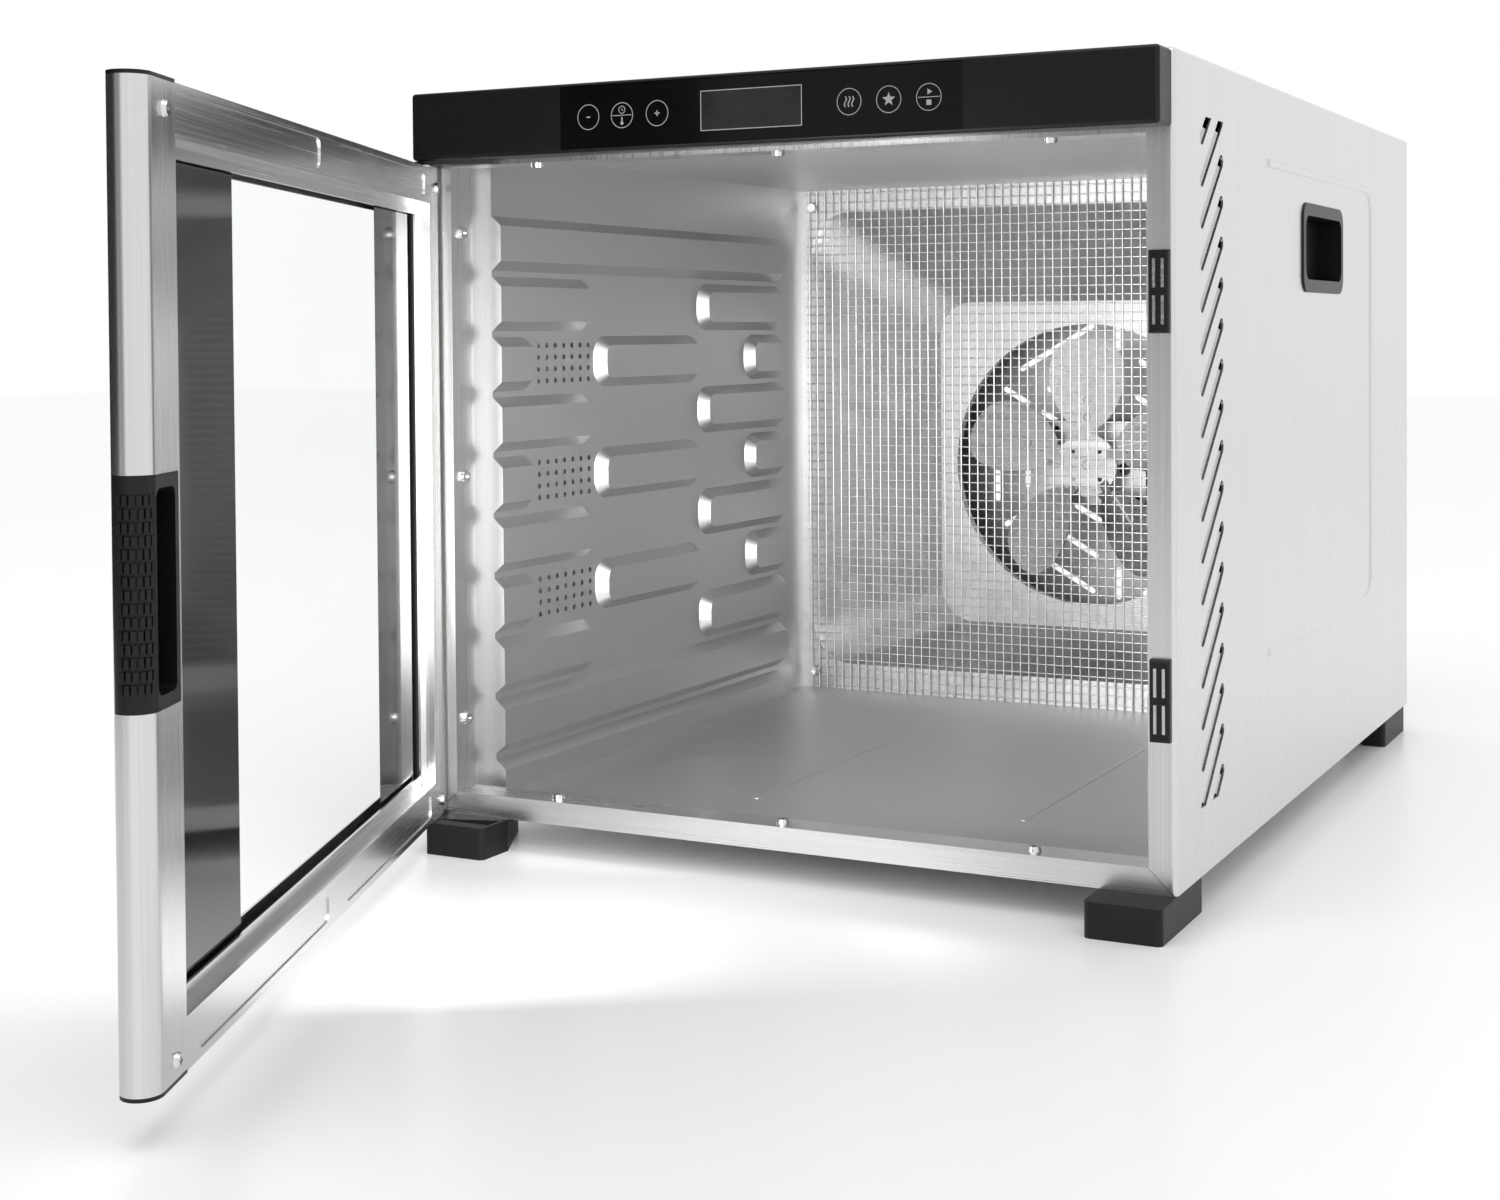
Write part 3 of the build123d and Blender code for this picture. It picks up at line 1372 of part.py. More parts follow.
def foot(name, outer_x, side, end_y, inwards, points):
    """A tapered block foot; side is -1 on the left, and inwards is +1 from the front."""
    with BuildPart() as block:
        with BuildSketch():
            with BuildLine():
                Polyline(
                    (outer_x, end_y),
                    (outer_x - side * foot_width, end_y),
                    (outer_x - side * foot_width, end_y + inwards * (foot_length - foot_cut_length)),
                    (outer_x - side * (foot_width - foot_cut_width), end_y + inwards * foot_length),
                    (outer_x, end_y + inwards * foot_length),
                    close=True,
                )
            make_face()
        extrude(amount=foot_height)
        fillet(block.edges().filter_by(Axis.Z), foot_edge_radius)
        with BuildSketch():
            with Locations(*points):
                Circle(foot_screw_head_radius + screw_clearance)
        extrude(amount=foot_screw_head_depth, mode=Mode.SUBTRACT)
        with BuildSketch():
            with Locations(*points):
                Circle(screw_hole_radius)
        extrude(amount=foot_height, mode=Mode.SUBTRACT)
        if name == "foot_front_left":
            # bed of the lower hinge plate
            bed_front_y = axis_y - hinge_nose_radius - pan_clearance
            bed_rear_y = front_y + hinge_plate_tail + pan_clearance
            with BuildSketch(Plane.XY.offset(hinge_lower_z - pan_clearance)):
                with Locations(((hinge_plate_left + hinge_plate_right) / 2, (bed_front_y + bed_rear_y) / 2)):
                    Rectangle(hinge_plate_width + 2 * pan_clearance, bed_rear_y - bed_front_y)
            extrude(amount=hinge_plate_thickness + pan_clearance, mode=Mode.SUBTRACT)
    block.part.label = name
    export_step(block.part, "parts/" + name + ".step")
    return block


foot("foot_front_left", left_x + foot_left_inset, -1, foot_front_y, 1, front_left_points)
foot("foot_front_right", right_x, 1, foot_front_y, 1, front_right_points)
foot("foot_rear_left", left_x, -1, foot_rear_y, -1, rear_left_points)
foot("foot_rear_right", right_x, 1, foot_rear_y, -1, rear_right_points)

foot_screw_tail = 3.0
foot_screw_length = foot_height - foot_screw_head_depth + foot_screw_tail
foot_screw_plane = Plane(origin=(0, 0, foot_screw_head_depth), x_dir=(1, 0, 0), z_dir=(0, 0, -1))
foot_screws = pan_screws(
    [(foot_screw_plane, [(x, -y) for x, y in all_foot_points])],
    foot_screw_head_radius,
    screw_head_height,
    screw_shank_radius,
    foot_screw_length,
)
foot_screws.part.label = "foot_screws"
export_step(foot_screws.part, "parts/foot_screws.step")

# ---------------------------------------------------------------- carry handles
# A moulded cup in each side: a rim on the outside, thicker above and below, and a hollow with a
# rounded floor.
cup_rim_thickness = 1.0
cup_depth = 12.8
cup_wall = 1.6
cup_clearance = 0.2
cup_band = 6.0  # rim above and below the mouth
cup_side_rim = 4.5
cup_floor_radius = 5.6
cup_rim_radius = 0.6
cup_body_width = handle_width - 2 * handle_flange_width - 2 * cup_clearance
cup_body_height = handle_height - 2 * handle_flange_width - 2 * cup_clearance
cup_mouth_width = handle_width - 2 * cup_side_rim
cup_mouth_height = handle_height - 2 * cup_band

for side, name in ((-1, "left_handle_cup"), (1, "right_handle_cup")):
    with BuildPart() as cup:
        with BuildSketch(Plane.YZ.offset(side * body_width / 2)):
            with Locations((handle_y, handle_z)):
                RectangleRounded(cup_body_width, cup_body_height, handle_radius - handle_flange_width)
        extrude(amount=-side * cup_depth)
        inner_face = cup.faces().filter_by(Axis.X).sort_by(Axis.X)[0 if side > 0 else -1]
        fillet(inner_face.edges(), cup_floor_radius)
        with BuildSketch(Plane.YZ.offset(side * body_width / 2)):
            with Locations((handle_y, handle_z)):
                RectangleRounded(handle_width, handle_height, handle_radius)
        extrude(amount=side * cup_rim_thickness)
        outer_face = cup.faces().filter_by(Axis.X).sort_by(Axis.X)[-1 if side > 0 else 0]
        fillet(outer_face.edges(), cup_rim_radius)
        with BuildSketch(Plane.YZ.offset(side * (body_width / 2 + cup_rim_thickness))):
            with Locations((handle_y, handle_z)):
                RectangleRounded(cup_mouth_width, cup_mouth_height, handle_radius - handle_flange_width)
        extrude(amount=-side * (cup_rim_thickness + cup_depth - cup_wall), mode=Mode.SUBTRACT)
    cup.part.label = name
    export_step(cup.part, "parts/" + name + ".step")

# ---------------------------------------------------------------- catches
# Two magnetic catches on the right post; two pairs of pole plates show in the face of each.
pole_width = 1.2
pole_height = 11.0
pole_depth = 1.2
pole_spacing_x = 3.4
pole_spacing_z = 14.0
pole_gap = 0.05
catch_stem_depth = 5.0
catch_edge = 0.8

for name, catch_z in (("lower_catch", catch_heights[0]), ("upper_catch", catch_heights[1])):
    with BuildPart() as catch:
        with BuildSketch(upright(front_y)):
            with Locations((catch_x, catch_z)):
                Rectangle(catch_width, catch_height)
        extrude(amount=catch_reach)
        chamfer(catch.faces().sort_by(Axis.Y)[0].edges(), catch_edge)
        with BuildSketch(upright(front_y)):
            with Locations((catch_x, catch_z)):
                Rectangle(catch_stem_width, catch_stem_height)
        extrude(amount=-catch_stem_depth)
        with BuildSketch(upright(front_y - catch_reach)):
            with Locations((catch_x, catch_z)):
                with GridLocations(pole_spacing_x, pole_spacing_z, 2, 2):
                    Rectangle(pole_width + 2 * pole_gap, pole_height + 2 * pole_gap)
        extrude(amount=-pole_depth, mode=Mode.SUBTRACT)
    catch.part.label = name
    export_step(catch.part, "parts/" + name + ".step")

with BuildPart() as catch_plates:
    with BuildSketch(upright(front_y - catch_reach + pole_depth)):
        for catch_z in catch_heights:
            with Locations((catch_x, catch_z)):
                with GridLocations(pole_spacing_x, pole_spacing_z, 2, 2):
                    Rectangle(pole_width, pole_height)
    extrude(amount=pole_depth)

catch_plates.part.label = "catch_plates"
export_step(catch_plates.part, "parts/catch_plates.step")

# ---------------------------------------------------------------- frame screws
# Round the opening they hold the liners and the rack walls to the front flanges; behind the
# lintel they hold the control housing, and inside it the upper hinge plate.
flange_screw_length = 2.3
tab_screw_tail = 1.5
housing_screw_shank = 8.0
left_plane = Plane.YZ.offset(-opening_half)
right_plane = Plane(origin=(opening_half, 0, 0), x_dir=(0, 1, 0), z_dir=(-1, 0, 0))
top_plane = Plane(origin=(0, 0, opening_top), x_dir=(1, 0, 0), z_dir=(0, 0, -1))
sill_plane = Plane.XY.offset(opening_bottom)
lintel_back = Plane(origin=(0, front_y + shell_thickness, 0), x_dir=(-1, 0, 0), z_dir=(0, 1, 0))
tab_plane = upright(front_y - tab_thickness)

flange_screws = pan_screws(
    [
        (left_plane, [(flange_screw_y, z) for z in side_screw_heights]),
        (right_plane, [(flange_screw_y, -z) for z in side_screw_heights]),
        (top_plane, [(index * top_screw_spacing, -flange_screw_y) for index in (-1, 0, 1)]),
        (sill_plane, [(index * sill_screw_spacing, flange_screw_y) for index in (-1, 0, 1)]),
    ],
    screw_head_radius,
    screw_head_height,
    screw_shank_radius,
    flange_screw_length,
)
tab_screw_points = [
    (hinge_tab_x + side * hinge_tab_screw_spacing / 2, hinge_tab_screw_z) for side in (-1, 1)
]
tab_screws = pan_screws(
    [(tab_plane, tab_screw_points)],
    screw_head_radius,
    screw_head_height,
    screw_shank_radius,
    tab_thickness + shell_thickness + tab_screw_tail,
)
housing_screws = pan_screws(
    [(lintel_back, [(-housing_screw_x, housing_mid), (housing_screw_x, housing_mid)])],
    screw_head_radius,
    screw_head_height,
    screw_shank_radius,
    housing_screw_shank,
)
with BuildPart() as frame_screws:
    add(flange_screws.part)
    add(tab_screws.part)
    add(housing_screws.part)

frame_screws.part.label = "frame_screws"
export_step(frame_screws.part, "parts/frame_screws.step")

# ---------------------------------------------------------------- door
# The door is drawn about its hinge axis and stands open by door_angle. In its own frame u runs
# from the axis to the free edge and v from the outside of the door to the cabinet's side of it.
door_turn = radians(door_angle)
door_u = Vector(cos(door_turn), -sin(door_turn), 0)
door_v = Vector(sin(door_turn), cos(door_turn), 0)
door_lift = 0.5
door_bottom = body_bottom + door_lift
door_top = door_bottom + door_height
stile_cap_thickness = 1.2
hinge_edge_u = -pin_from_edge
free_edge_u = door_width - pin_from_edge
inner_v = pin_from_inner_face
outer_v = pin_from_inner_face - door_thickness
hinge_stile_u = hinge_edge_u + hinge_stile_width
handle_stile_u = free_edge_u - handle_stile_width
frame_wall = 1.0
stile_edge_radius = 2.6
rail_inset = 0.5
rail_bottom = door_bottom + rail_inset
rail_top = door_top - 2 * rail_inset
lip_width = 6.0
lip_thickness = 1.0
glass_gap = 0.3
pocket_left = hinge_stile_u + glass_gap
pocket_right = handle_stile_u - glass_gap
door_glass_bottom = rail_bottom + door_rail_height + glass_gap
door_glass_top = rail_top - door_rail_height - glass_gap
glass_outer_v = outer_v + lip_thickness
glass_inner_v = glass_outer_v + door_glass_thickness
gasket_width = 3.0
gasket_thickness = 1.5
keeper_width = 5.0
keeper_v = glass_inner_v + gasket_thickness
edge_round = door_thickness / 2
door_mid_v = (outer_v + inner_v) / 2
hinge_stile_mid = (hinge_edge_u + hinge_stile_u) / 2
rail_mid = (hinge_stile_u + handle_stile_u) / 2
handle_flat_mid = (handle_stile_u + free_edge_u - edge_round) / 2
handle_hollow_mid = handle_flat_mid + frame_wall / 2
pocket_mid = (pocket_left + pocket_right) / 2


def door_level(z):
    """A level plane of the door at the height z, with u across and v towards the cabinet."""
    return Plane(origin=(axis_x, axis_y, z), x_dir=door_u, z_dir=(0, 0, 1))


def door_face(v):
    """An upright plane of the door at the depth v, with u across and z up; it faces outwards."""
    origin = Vector(axis_x, axis_y, 0) + door_v * v
    return Plane(origin=origin, x_dir=door_u, z_dir=door_v * -1)


def glass_rim(stile_u, towards_glass):
    """The lip in front of the glass and the keeper behind the gasket, along one stile."""
    with BuildPart() as rim:
        with BuildSketch(door_level(door_glass_bottom)):
            for width, low_v in ((lip_width, outer_v), (keeper_width, keeper_v)):
                with Locations((stile_u + towards_glass * width / 2, low_v + lip_thickness / 2)):
                    Rectangle(width, lip_thickness)
        extrude(amount=door_glass_top - door_glass_bottom)
    return rim


bush_height = 12.0
bush_clearance = 0.1
door_screw_radius = 2.6
door_screw_height = 1.4
door_screw_shank = 1.2
door_screw_length = 1.4
door_screw_hinge_u = 1.0
door_screw_handle_u = free_edge_u - 16.2
door_screw_low = door_bottom + 6.5
door_screw_high = door_top - 9.5
hinge_screw_points = [(door_screw_hinge_u, z) for z in (door_screw_low, door_screw_high)]
handle_screw_points = [(door_screw_handle_u, z) for z in (door_screw_low, door_screw_high)]
# a plane that faces the cabinet; across it u runs the other way
inner_origin = Vector(axis_x, axis_y, 0) + door_v * inner_v
door_inner_face = Plane(origin=inner_origin, x_dir=door_u * -1, z_dir=door_v)

hinge_rim = glass_rim(hinge_stile_u, 1)
handle_rim = glass_rim(handle_stile_u, -1)

with BuildPart() as door_hinge_stile:
    with BuildSketch(door_level(door_bottom)):
        with Locations((hinge_stile_mid, door_mid_v)):
            Rectangle(hinge_stile_width, door_thickness)
    extrude(amount=door_height)
    outer_corners = door_hinge_stile.edges().filter_by(Axis.Z)
    fillet(outer_corners.sort_by(Axis(origin=(axis_x, axis_y, 0), direction=door_u))[:2], stile_edge_radius)
    with BuildSketch(door_level(door_bottom)):
        with Locations((hinge_stile_mid, door_mid_v)):
            RectangleRounded(
                hinge_stile_width - 2 * frame_wall,
                door_thickness - 2 * frame_wall,
                stile_edge_radius - frame_wall,
            )
    extrude(amount=door_height, mode=Mode.SUBTRACT)
    add(hinge_rim.part)
    with BuildSketch(door_inner_face):
        with Locations(*[(-u, z) for u, z in hinge_screw_points]):
            Circle(door_screw_shank + screw_clearance)
    extrude(amount=-frame_wall, mode=Mode.SUBTRACT)

door_hinge_stile.part.label = "door_hinge_stile"
export_step(door_hinge_stile.part, "parts/door_hinge_stile.step")

# bushes fill both ends of the hinge stile and turn on the pins
with BuildPart() as hinge_bushes:
    for bush_z in (door_bottom, door_top - bush_height):
        with BuildSketch(door_level(bush_z)):
            with Locations((hinge_stile_mid, door_mid_v)):
                RectangleRounded(
                    hinge_stile_width - 2 * (frame_wall + bush_clearance),
                    door_thickness - 2 * (frame_wall + bush_clearance),
                    stile_edge_radius - frame_wall - bush_clearance,
                )
            Circle(pin_radius + running_gap, mode=Mode.SUBTRACT)
        extrude(amount=bush_height)
    with BuildSketch(door_inner_face):
        with Locations(*[(-u, z) for u, z in hinge_screw_points]):
            Circle(door_screw_shank + screw_clearance)
    extrude(amount=-door_screw_length - bush_clearance, mode=Mode.SUBTRACT)

hinge_bushes.part.label = "hinge_bushes"
export_step(hinge_bushes.part, "parts/hinge_bushes.step")

# The handle stile has a half-round free edge. A part of its wall gives way to the finger grip.
grip_bottom = body_bottom + 110.0
grip_height = 67.0
grip_back_wall = 1.2
grip_clearance = 0.1
grip_recess_margin = 4.0
grip_recess_u = handle_stile_u + 4.0
grip_recess_width = 15.0
grip_recess_depth = 9.0
grip_side_gap = 0.3
grip_left_u = handle_stile_u + frame_wall + grip_side_gap
grip_recess_radius = 3.0


with BuildPart() as door_handle_stile:
    with BuildSketch(door_level(door_bottom + stile_cap_thickness)):
        with Locations((handle_flat_mid, door_mid_v)):
            Rectangle(handle_stile_width - edge_round, door_thickness)
        with Locations((free_edge_u - edge_round, door_mid_v)):
            Circle(edge_round)
    extrude(amount=door_height - 2 * stile_cap_thickness)
    with BuildSketch(door_level(door_bottom)):
        with Locations((handle_hollow_mid, door_mid_v)):
            Rectangle(handle_stile_width - edge_round - frame_wall, door_thickness - 2 * frame_wall)
        with Locations((free_edge_u - edge_round, door_mid_v)):
            Circle(edge_round - frame_wall)
    extrude(amount=door_height, mode=Mode.SUBTRACT)
    add(handle_rim.part)
    # opening for the grip: everything but the outer wall and the inner side wall
    with BuildSketch(door_level(grip_bottom - grip_clearance)):
        with Locations((grip_left_u - grip_clearance, outer_v + grip_back_wall)):
            Rectangle(handle_stile_width, door_thickness, align=(Align.MIN, Align.MIN))
    extrude(amount=grip_height + 2 * grip_clearance, mode=Mode.SUBTRACT)
    with BuildSketch(door_inner_face):
        with Locations(*[(-u, z) for u, z in handle_screw_points]):
            Circle(door_screw_shank + screw_clearance)
    extrude(amount=-frame_wall, mode=Mode.SUBTRACT)

door_handle_stile.part.label = "door_handle_stile"
export_step(door_handle_stile.part, "parts/door_handle_stile.step")

with BuildPart() as door_grip:
    with BuildSketch(door_level(grip_bottom)):
        with Locations((handle_flat_mid, door_mid_v)):
            Rectangle(handle_stile_width - edge_round, door_thickness)
        with Locations((free_edge_u - edge_round, door_mid_v)):
            Circle(edge_round)
        with Locations((grip_left_u, outer_v + grip_back_wall + grip_clearance)):
            Rectangle(handle_stile_width, door_thickness, align=(Align.MIN, Align.MIN), mode=Mode.INTERSECT)
    extrude(amount=grip_height)
    with BuildSketch(door_inner_face):
        with Locations((-grip_recess_u - grip_recess_width / 2, grip_bottom + grip_height / 2)):
            RectangleRounded(grip_recess_width, grip_height - 2 * grip_recess_margin, grip_recess_radius)
    extrude(amount=-grip_recess_depth, mode=Mode.SUBTRACT)

door_grip.part.label = "door_grip"
export_step(door_grip.part, "parts/door_grip.step")

# black end caps of the handle stile, each with a plug inside it
cap_plug_height = 14.0
with BuildPart() as door_caps:
    for cap_z, plug_z in (
        (door_bottom, door_bottom + stile_cap_thickness),
        (door_top - stile_cap_thickness, door_top - stile_cap_thickness - cap_plug_height),
    ):
        with BuildSketch(door_level(cap_z)):
            with Locations((handle_flat_mid, door_mid_v)):
                Rectangle(handle_stile_width - edge_round, door_thickness)
            with Locations((free_edge_u - edge_round, door_mid_v)):
                Circle(edge_round)
        extrude(amount=stile_cap_thickness)
        with BuildSketch(door_level(plug_z)):
            with Locations((handle_hollow_mid, door_mid_v)):
                Rectangle(
                    handle_stile_width - edge_round - frame_wall - 2 * bush_clearance,
                    door_thickness - 2 * (frame_wall + bush_clearance),
                )
            with Locations((free_edge_u - edge_round, door_mid_v)):
                Circle(edge_round - frame_wall - bush_clearance)
        extrude(amount=cap_plug_height)
    with BuildSketch(door_inner_face):
        with Locations(*[(-u, z) for u, z in handle_screw_points]):
            Circle(door_screw_shank + screw_clearance)
    extrude(amount=-door_screw_length - frame_wall, mode=Mode.SUBTRACT)

door_caps.part.label = "door_caps"
export_step(door_caps.part, "parts/door_caps.step")

# rails: box sections between the stiles, each with two long shallow dimples on the inner face
dimple_depth = 0.55
dimple_height = 11.0
dimple_radius = 3.5
dimple_spans = ((26.0, 163.0), (186.0, 324.0))  # along the door, from its hinge edge


def rail(low_z, lip_z, glass_side):
    """A rail whose glass side is above it (1) or below it (-1)."""
    with BuildPart() as bar:
        with BuildSketch(door_level(low_z)):
            with Locations((rail_mid, door_mid_v)):
                Rectangle(handle_stile_u - hinge_stile_u, door_thickness)
        extrude(amount=door_rail_height)
        with BuildSketch(door_level(low_z + frame_wall)):
            with Locations((rail_mid, door_mid_v)):
                Rectangle(handle_stile_u - hinge_stile_u, door_thickness - 2 * frame_wall)
        extrude(amount=door_rail_height - 2 * frame_wall, mode=Mode.SUBTRACT)
        for width, low_v in ((lip_width, outer_v), (keeper_width, keeper_v)):
            with BuildSketch(door_level(lip_z)):
                with Locations((rail_mid, low_v + lip_thickness / 2)):
                    Rectangle(handle_stile_u - hinge_stile_u - 2 * (lip_width + glass_gap), lip_thickness)
            extrude(amount=glass_side * width)
        with BuildSketch(door_inner_face):
            for start, end in dimple_spans:
                middle = (start + end) / 2 - pin_from_edge
                with Locations((-middle, low_z + door_rail_height / 2)):
                    RectangleRounded(end - start, dimple_height, dimple_radius)
        extrude(amount=-dimple_depth, mode=Mode.SUBTRACT)
    return bar


door_bottom_rail = rail(rail_bottom, rail_bottom + door_rail_height, 1)
door_bottom_rail.part.label = "door_bottom_rail"
export_step(door_bottom_rail.part, "parts/door_bottom_rail.step")

door_top_rail = rail(rail_top - door_rail_height, rail_top - door_rail_height, -1)
door_top_rail.part.label = "door_top_rail"
export_step(door_top_rail.part, "parts/door_top_rail.step")

with BuildPart() as door_glass:
    with BuildSketch(door_level(door_glass_bottom)):
        with Locations((pocket_mid, (glass_outer_v + glass_inner_v) / 2)):
            Rectangle(pocket_right - pocket_left, door_glass_thickness)
    extrude(amount=door_glass_top - door_glass_bottom)

door_glass.part.label = "door_glass"
export_step(door_glass.part, "parts/door_glass.step")

with BuildPart() as door_gasket:
    with BuildSketch(door_face(glass_inner_v)):
        with Locations((pocket_mid, (door_glass_bottom + door_glass_top) / 2)):
            Rectangle(pocket_right - pocket_left, door_glass_top - door_glass_bottom)
            Rectangle(
                pocket_right - pocket_left - 2 * gasket_width,
                door_glass_top - door_glass_bottom - 2 * gasket_width,
                mode=Mode.SUBTRACT,
            )
    extrude(amount=-gasket_thickness)

door_gasket.part.label = "door_gasket"
export_step(door_gasket.part, "parts/door_gasket.step")

door_screws = pan_screws(
    [(door_inner_face, [(-u, z) for u, z in hinge_screw_points + handle_screw_points])],
    door_screw_radius,
    door_screw_height,
    door_screw_shank,
    door_screw_length,
)
door_screws.part.label = "door_screws"
export_step(door_screws.part, "parts/door_screws.step")
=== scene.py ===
"""Looks for a tabletop food dehydrator: finishes, panel marks, glass print, beads and studio."""

import json
import logging
import math
from dataclasses import dataclass, field
from enum import Enum

import bmesh
import bpy
from mathutils import Matrix, Vector

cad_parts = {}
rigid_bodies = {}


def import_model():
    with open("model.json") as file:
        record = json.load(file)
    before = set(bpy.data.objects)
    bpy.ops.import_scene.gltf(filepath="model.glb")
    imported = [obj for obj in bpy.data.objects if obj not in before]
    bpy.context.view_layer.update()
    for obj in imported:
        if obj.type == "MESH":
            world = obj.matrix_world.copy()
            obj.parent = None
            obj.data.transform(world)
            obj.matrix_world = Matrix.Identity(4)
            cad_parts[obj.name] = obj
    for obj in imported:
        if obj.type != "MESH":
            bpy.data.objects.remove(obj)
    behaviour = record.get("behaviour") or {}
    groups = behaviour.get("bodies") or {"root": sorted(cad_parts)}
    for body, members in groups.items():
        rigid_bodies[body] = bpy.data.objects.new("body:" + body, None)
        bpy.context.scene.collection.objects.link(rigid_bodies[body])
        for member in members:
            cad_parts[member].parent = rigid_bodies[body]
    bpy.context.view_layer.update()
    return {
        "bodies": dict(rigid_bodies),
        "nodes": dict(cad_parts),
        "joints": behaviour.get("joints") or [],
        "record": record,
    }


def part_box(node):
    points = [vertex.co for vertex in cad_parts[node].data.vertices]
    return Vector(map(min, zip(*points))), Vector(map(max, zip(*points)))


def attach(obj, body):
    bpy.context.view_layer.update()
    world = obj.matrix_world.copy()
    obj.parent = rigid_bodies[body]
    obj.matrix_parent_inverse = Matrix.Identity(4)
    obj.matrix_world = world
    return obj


MM = 0.001
log = logging.getLogger("dehydrator")

Colour = tuple[float, float, float]
Triple = tuple[float, float, float]


# ------------------------------------------------------------------ shader groups
def open_group(name: str, inputs: dict[str, str], outputs: dict[str, str]) -> bpy.types.NodeTree:
    """Start a shader node group with named sockets.

    Args:
        name: the group's name.
        inputs: socket types by input name.
        outputs: socket types by output name.

    Returns:
        The new node tree, with its input and output nodes in place.
    """
    tree = bpy.data.node_groups.new(name, "ShaderNodeTree")
    for label, kind in inputs.items():
        tree.interface.new_socket(name=label, in_out="INPUT", socket_type=kind)
    for label, kind in outputs.items():
        tree.interface.new_socket(name=label, in_out="OUTPUT", socket_type=kind)
    tree.nodes.new("NodeGroupInput")
    tree.nodes.new("NodeGroupOutput")
    return tree


def scaled_coordinates(tree: bpy.types.NodeTree, stretch: bpy.types.NodeSocket) -> bpy.types.NodeSocket:
    """Multiply Object coordinates by a vector.

    Args:
        tree: the tree to add the nodes to.
        stretch: the vector socket to multiply by.

    Returns:
        The socket of the scaled coordinates.
    """
    place = tree.nodes.new("ShaderNodeTexCoord")
    times = tree.nodes.new("ShaderNodeVectorMath")
    times.operation = "MULTIPLY"
    tree.links.new(place.outputs["Object"], times.inputs[0])
    tree.links.new(stretch, times.inputs[1])
    return times.outputs["Vector"]


def streak_noise(
    tree: bpy.types.NodeTree, place: bpy.types.NodeSocket, detail: float
) -> bpy.types.NodeSocket:
    """Add a noise texture at scale 1 on the given coordinates.

    Args:
        tree: the tree to add the node to.
        place: the coordinates.
        detail: octaves of the noise.

    Returns:
        The noise's value socket.
    """
    noise = tree.nodes.new("ShaderNodeTexNoise")
    noise.inputs["Scale"].default_value = 1.0
    noise.inputs["Detail"].default_value = detail
    tree.links.new(place, noise.inputs["Vector"])
    return noise.outputs["Fac"]


def make_brush_group() -> bpy.types.NodeTree:
    """Build the group that draws brushing lines along one direction.

    Returns:
        The node tree; its input Stretch scales the coordinates and its output is Streak.
    """
    tree = open_group("brushing", {"Stretch": "NodeSocketVector"}, {"Streak": "NodeSocketFloat"})
    entry, leave = tree.nodes[0], tree.nodes[1]
    place = scaled_coordinates(tree, entry.outputs["Stretch"])
    tree.links.new(streak_noise(tree, place, 4.0), leave.inputs["Streak"])
    return tree


def make_fold_group() -> bpy.types.NodeTree:
    """Build brushing for a folded sheet: upright lines on walls and lines across the top.

    Returns:
        The node tree; Side and Front scale the coordinates, and the output is Streak.
    """
    tree = open_group(
        "folded_brushing",
        {"Side": "NodeSocketVector", "Front": "NodeSocketVector"},
        {"Streak": "NodeSocketFloat"},
    )
    entry, leave = tree.nodes[0], tree.nodes[1]
    side = streak_noise(tree, scaled_coordinates(tree, entry.outputs["Side"]), 4.0)
    front = streak_noise(tree, scaled_coordinates(tree, entry.outputs["Front"]), 4.0)
    facing = tree.nodes.new("ShaderNodeTexCoord")
    split = tree.nodes.new("ShaderNodeSeparateXYZ")
    size = tree.nodes.new("ShaderNodeMath")
    size.operation = "ABSOLUTE"
    pick = tree.nodes.new("ShaderNodeMath")
    pick.operation = "GREATER_THAN"
    pick.inputs[1].default_value = 0.7
    blend = tree.nodes.new("ShaderNodeMix")
    tree.links.new(facing.outputs["Normal"], split.inputs[0])
    tree.links.new(split.outputs["Y"], size.inputs[0])
    tree.links.new(size.outputs[0], pick.inputs[0])
    tree.links.new(pick.outputs[0], blend.inputs["Factor"])
    tree.links.new(side, blend.inputs["A"])
    tree.links.new(front, blend.inputs["B"])
    tree.links.new(blend.outputs["Result"], leave.inputs["Streak"])
    return tree


def make_cloud_group() -> bpy.types.NodeTree:
    """Build soft blotches, for handling marks and uneven sheen.

    Returns:
        The node tree; its input is Scale and its output is Cloud.
    """
    tree = open_group("clouds", {"Scale": "NodeSocketFloat"}, {"Cloud": "NodeSocketFloat"})
    entry, leave = tree.nodes[0], tree.nodes[1]
    place = tree.nodes.new("ShaderNodeTexCoord")
    noise = tree.nodes.new("ShaderNodeTexNoise")
    noise.inputs["Detail"].default_value = 5.0
    noise.inputs["Roughness"].default_value = 0.6
    tree.links.new(place.outputs["Object"], noise.inputs["Vector"])
    tree.links.new(entry.outputs["Scale"], noise.inputs["Scale"])
    tree.links.new(noise.outputs["Fac"], leave.inputs["Cloud"])
    return tree


def make_spangle_group() -> bpy.types.NodeTree:
    """Build the irregular crystal patches of a zinc coating.

    Returns:
        The node tree; its input is Scale and its output is Patch.
    """
    tree = open_group("spangle", {"Scale": "NodeSocketFloat"}, {"Patch": "NodeSocketFloat"})
    entry, leave = tree.nodes[0], tree.nodes[1]
    place = tree.nodes.new("ShaderNodeTexCoord")
    warp = tree.nodes.new("ShaderNodeTexNoise")
    warp.inputs["Scale"].default_value = 60.0
    shift = tree.nodes.new("ShaderNodeVectorMath")
    shift.operation = "MULTIPLY_ADD"
    shift.inputs[1].default_value = (0.02, 0.02, 0.02)
    cells = tree.nodes.new("ShaderNodeTexVoronoi")
    split = tree.nodes.new("ShaderNodeSeparateColor")
    tree.links.new(place.outputs["Object"], warp.inputs["Vector"])
    tree.links.new(warp.outputs["Color"], shift.inputs[0])
    tree.links.new(place.outputs["Object"], shift.inputs[2])
    tree.links.new(shift.outputs["Vector"], cells.inputs["Vector"])
    tree.links.new(entry.outputs["Scale"], cells.inputs["Scale"])
    tree.links.new(cells.outputs["Color"], split.inputs["Color"])
    tree.links.new(split.outputs["Red"], leave.inputs["Patch"])
    return tree


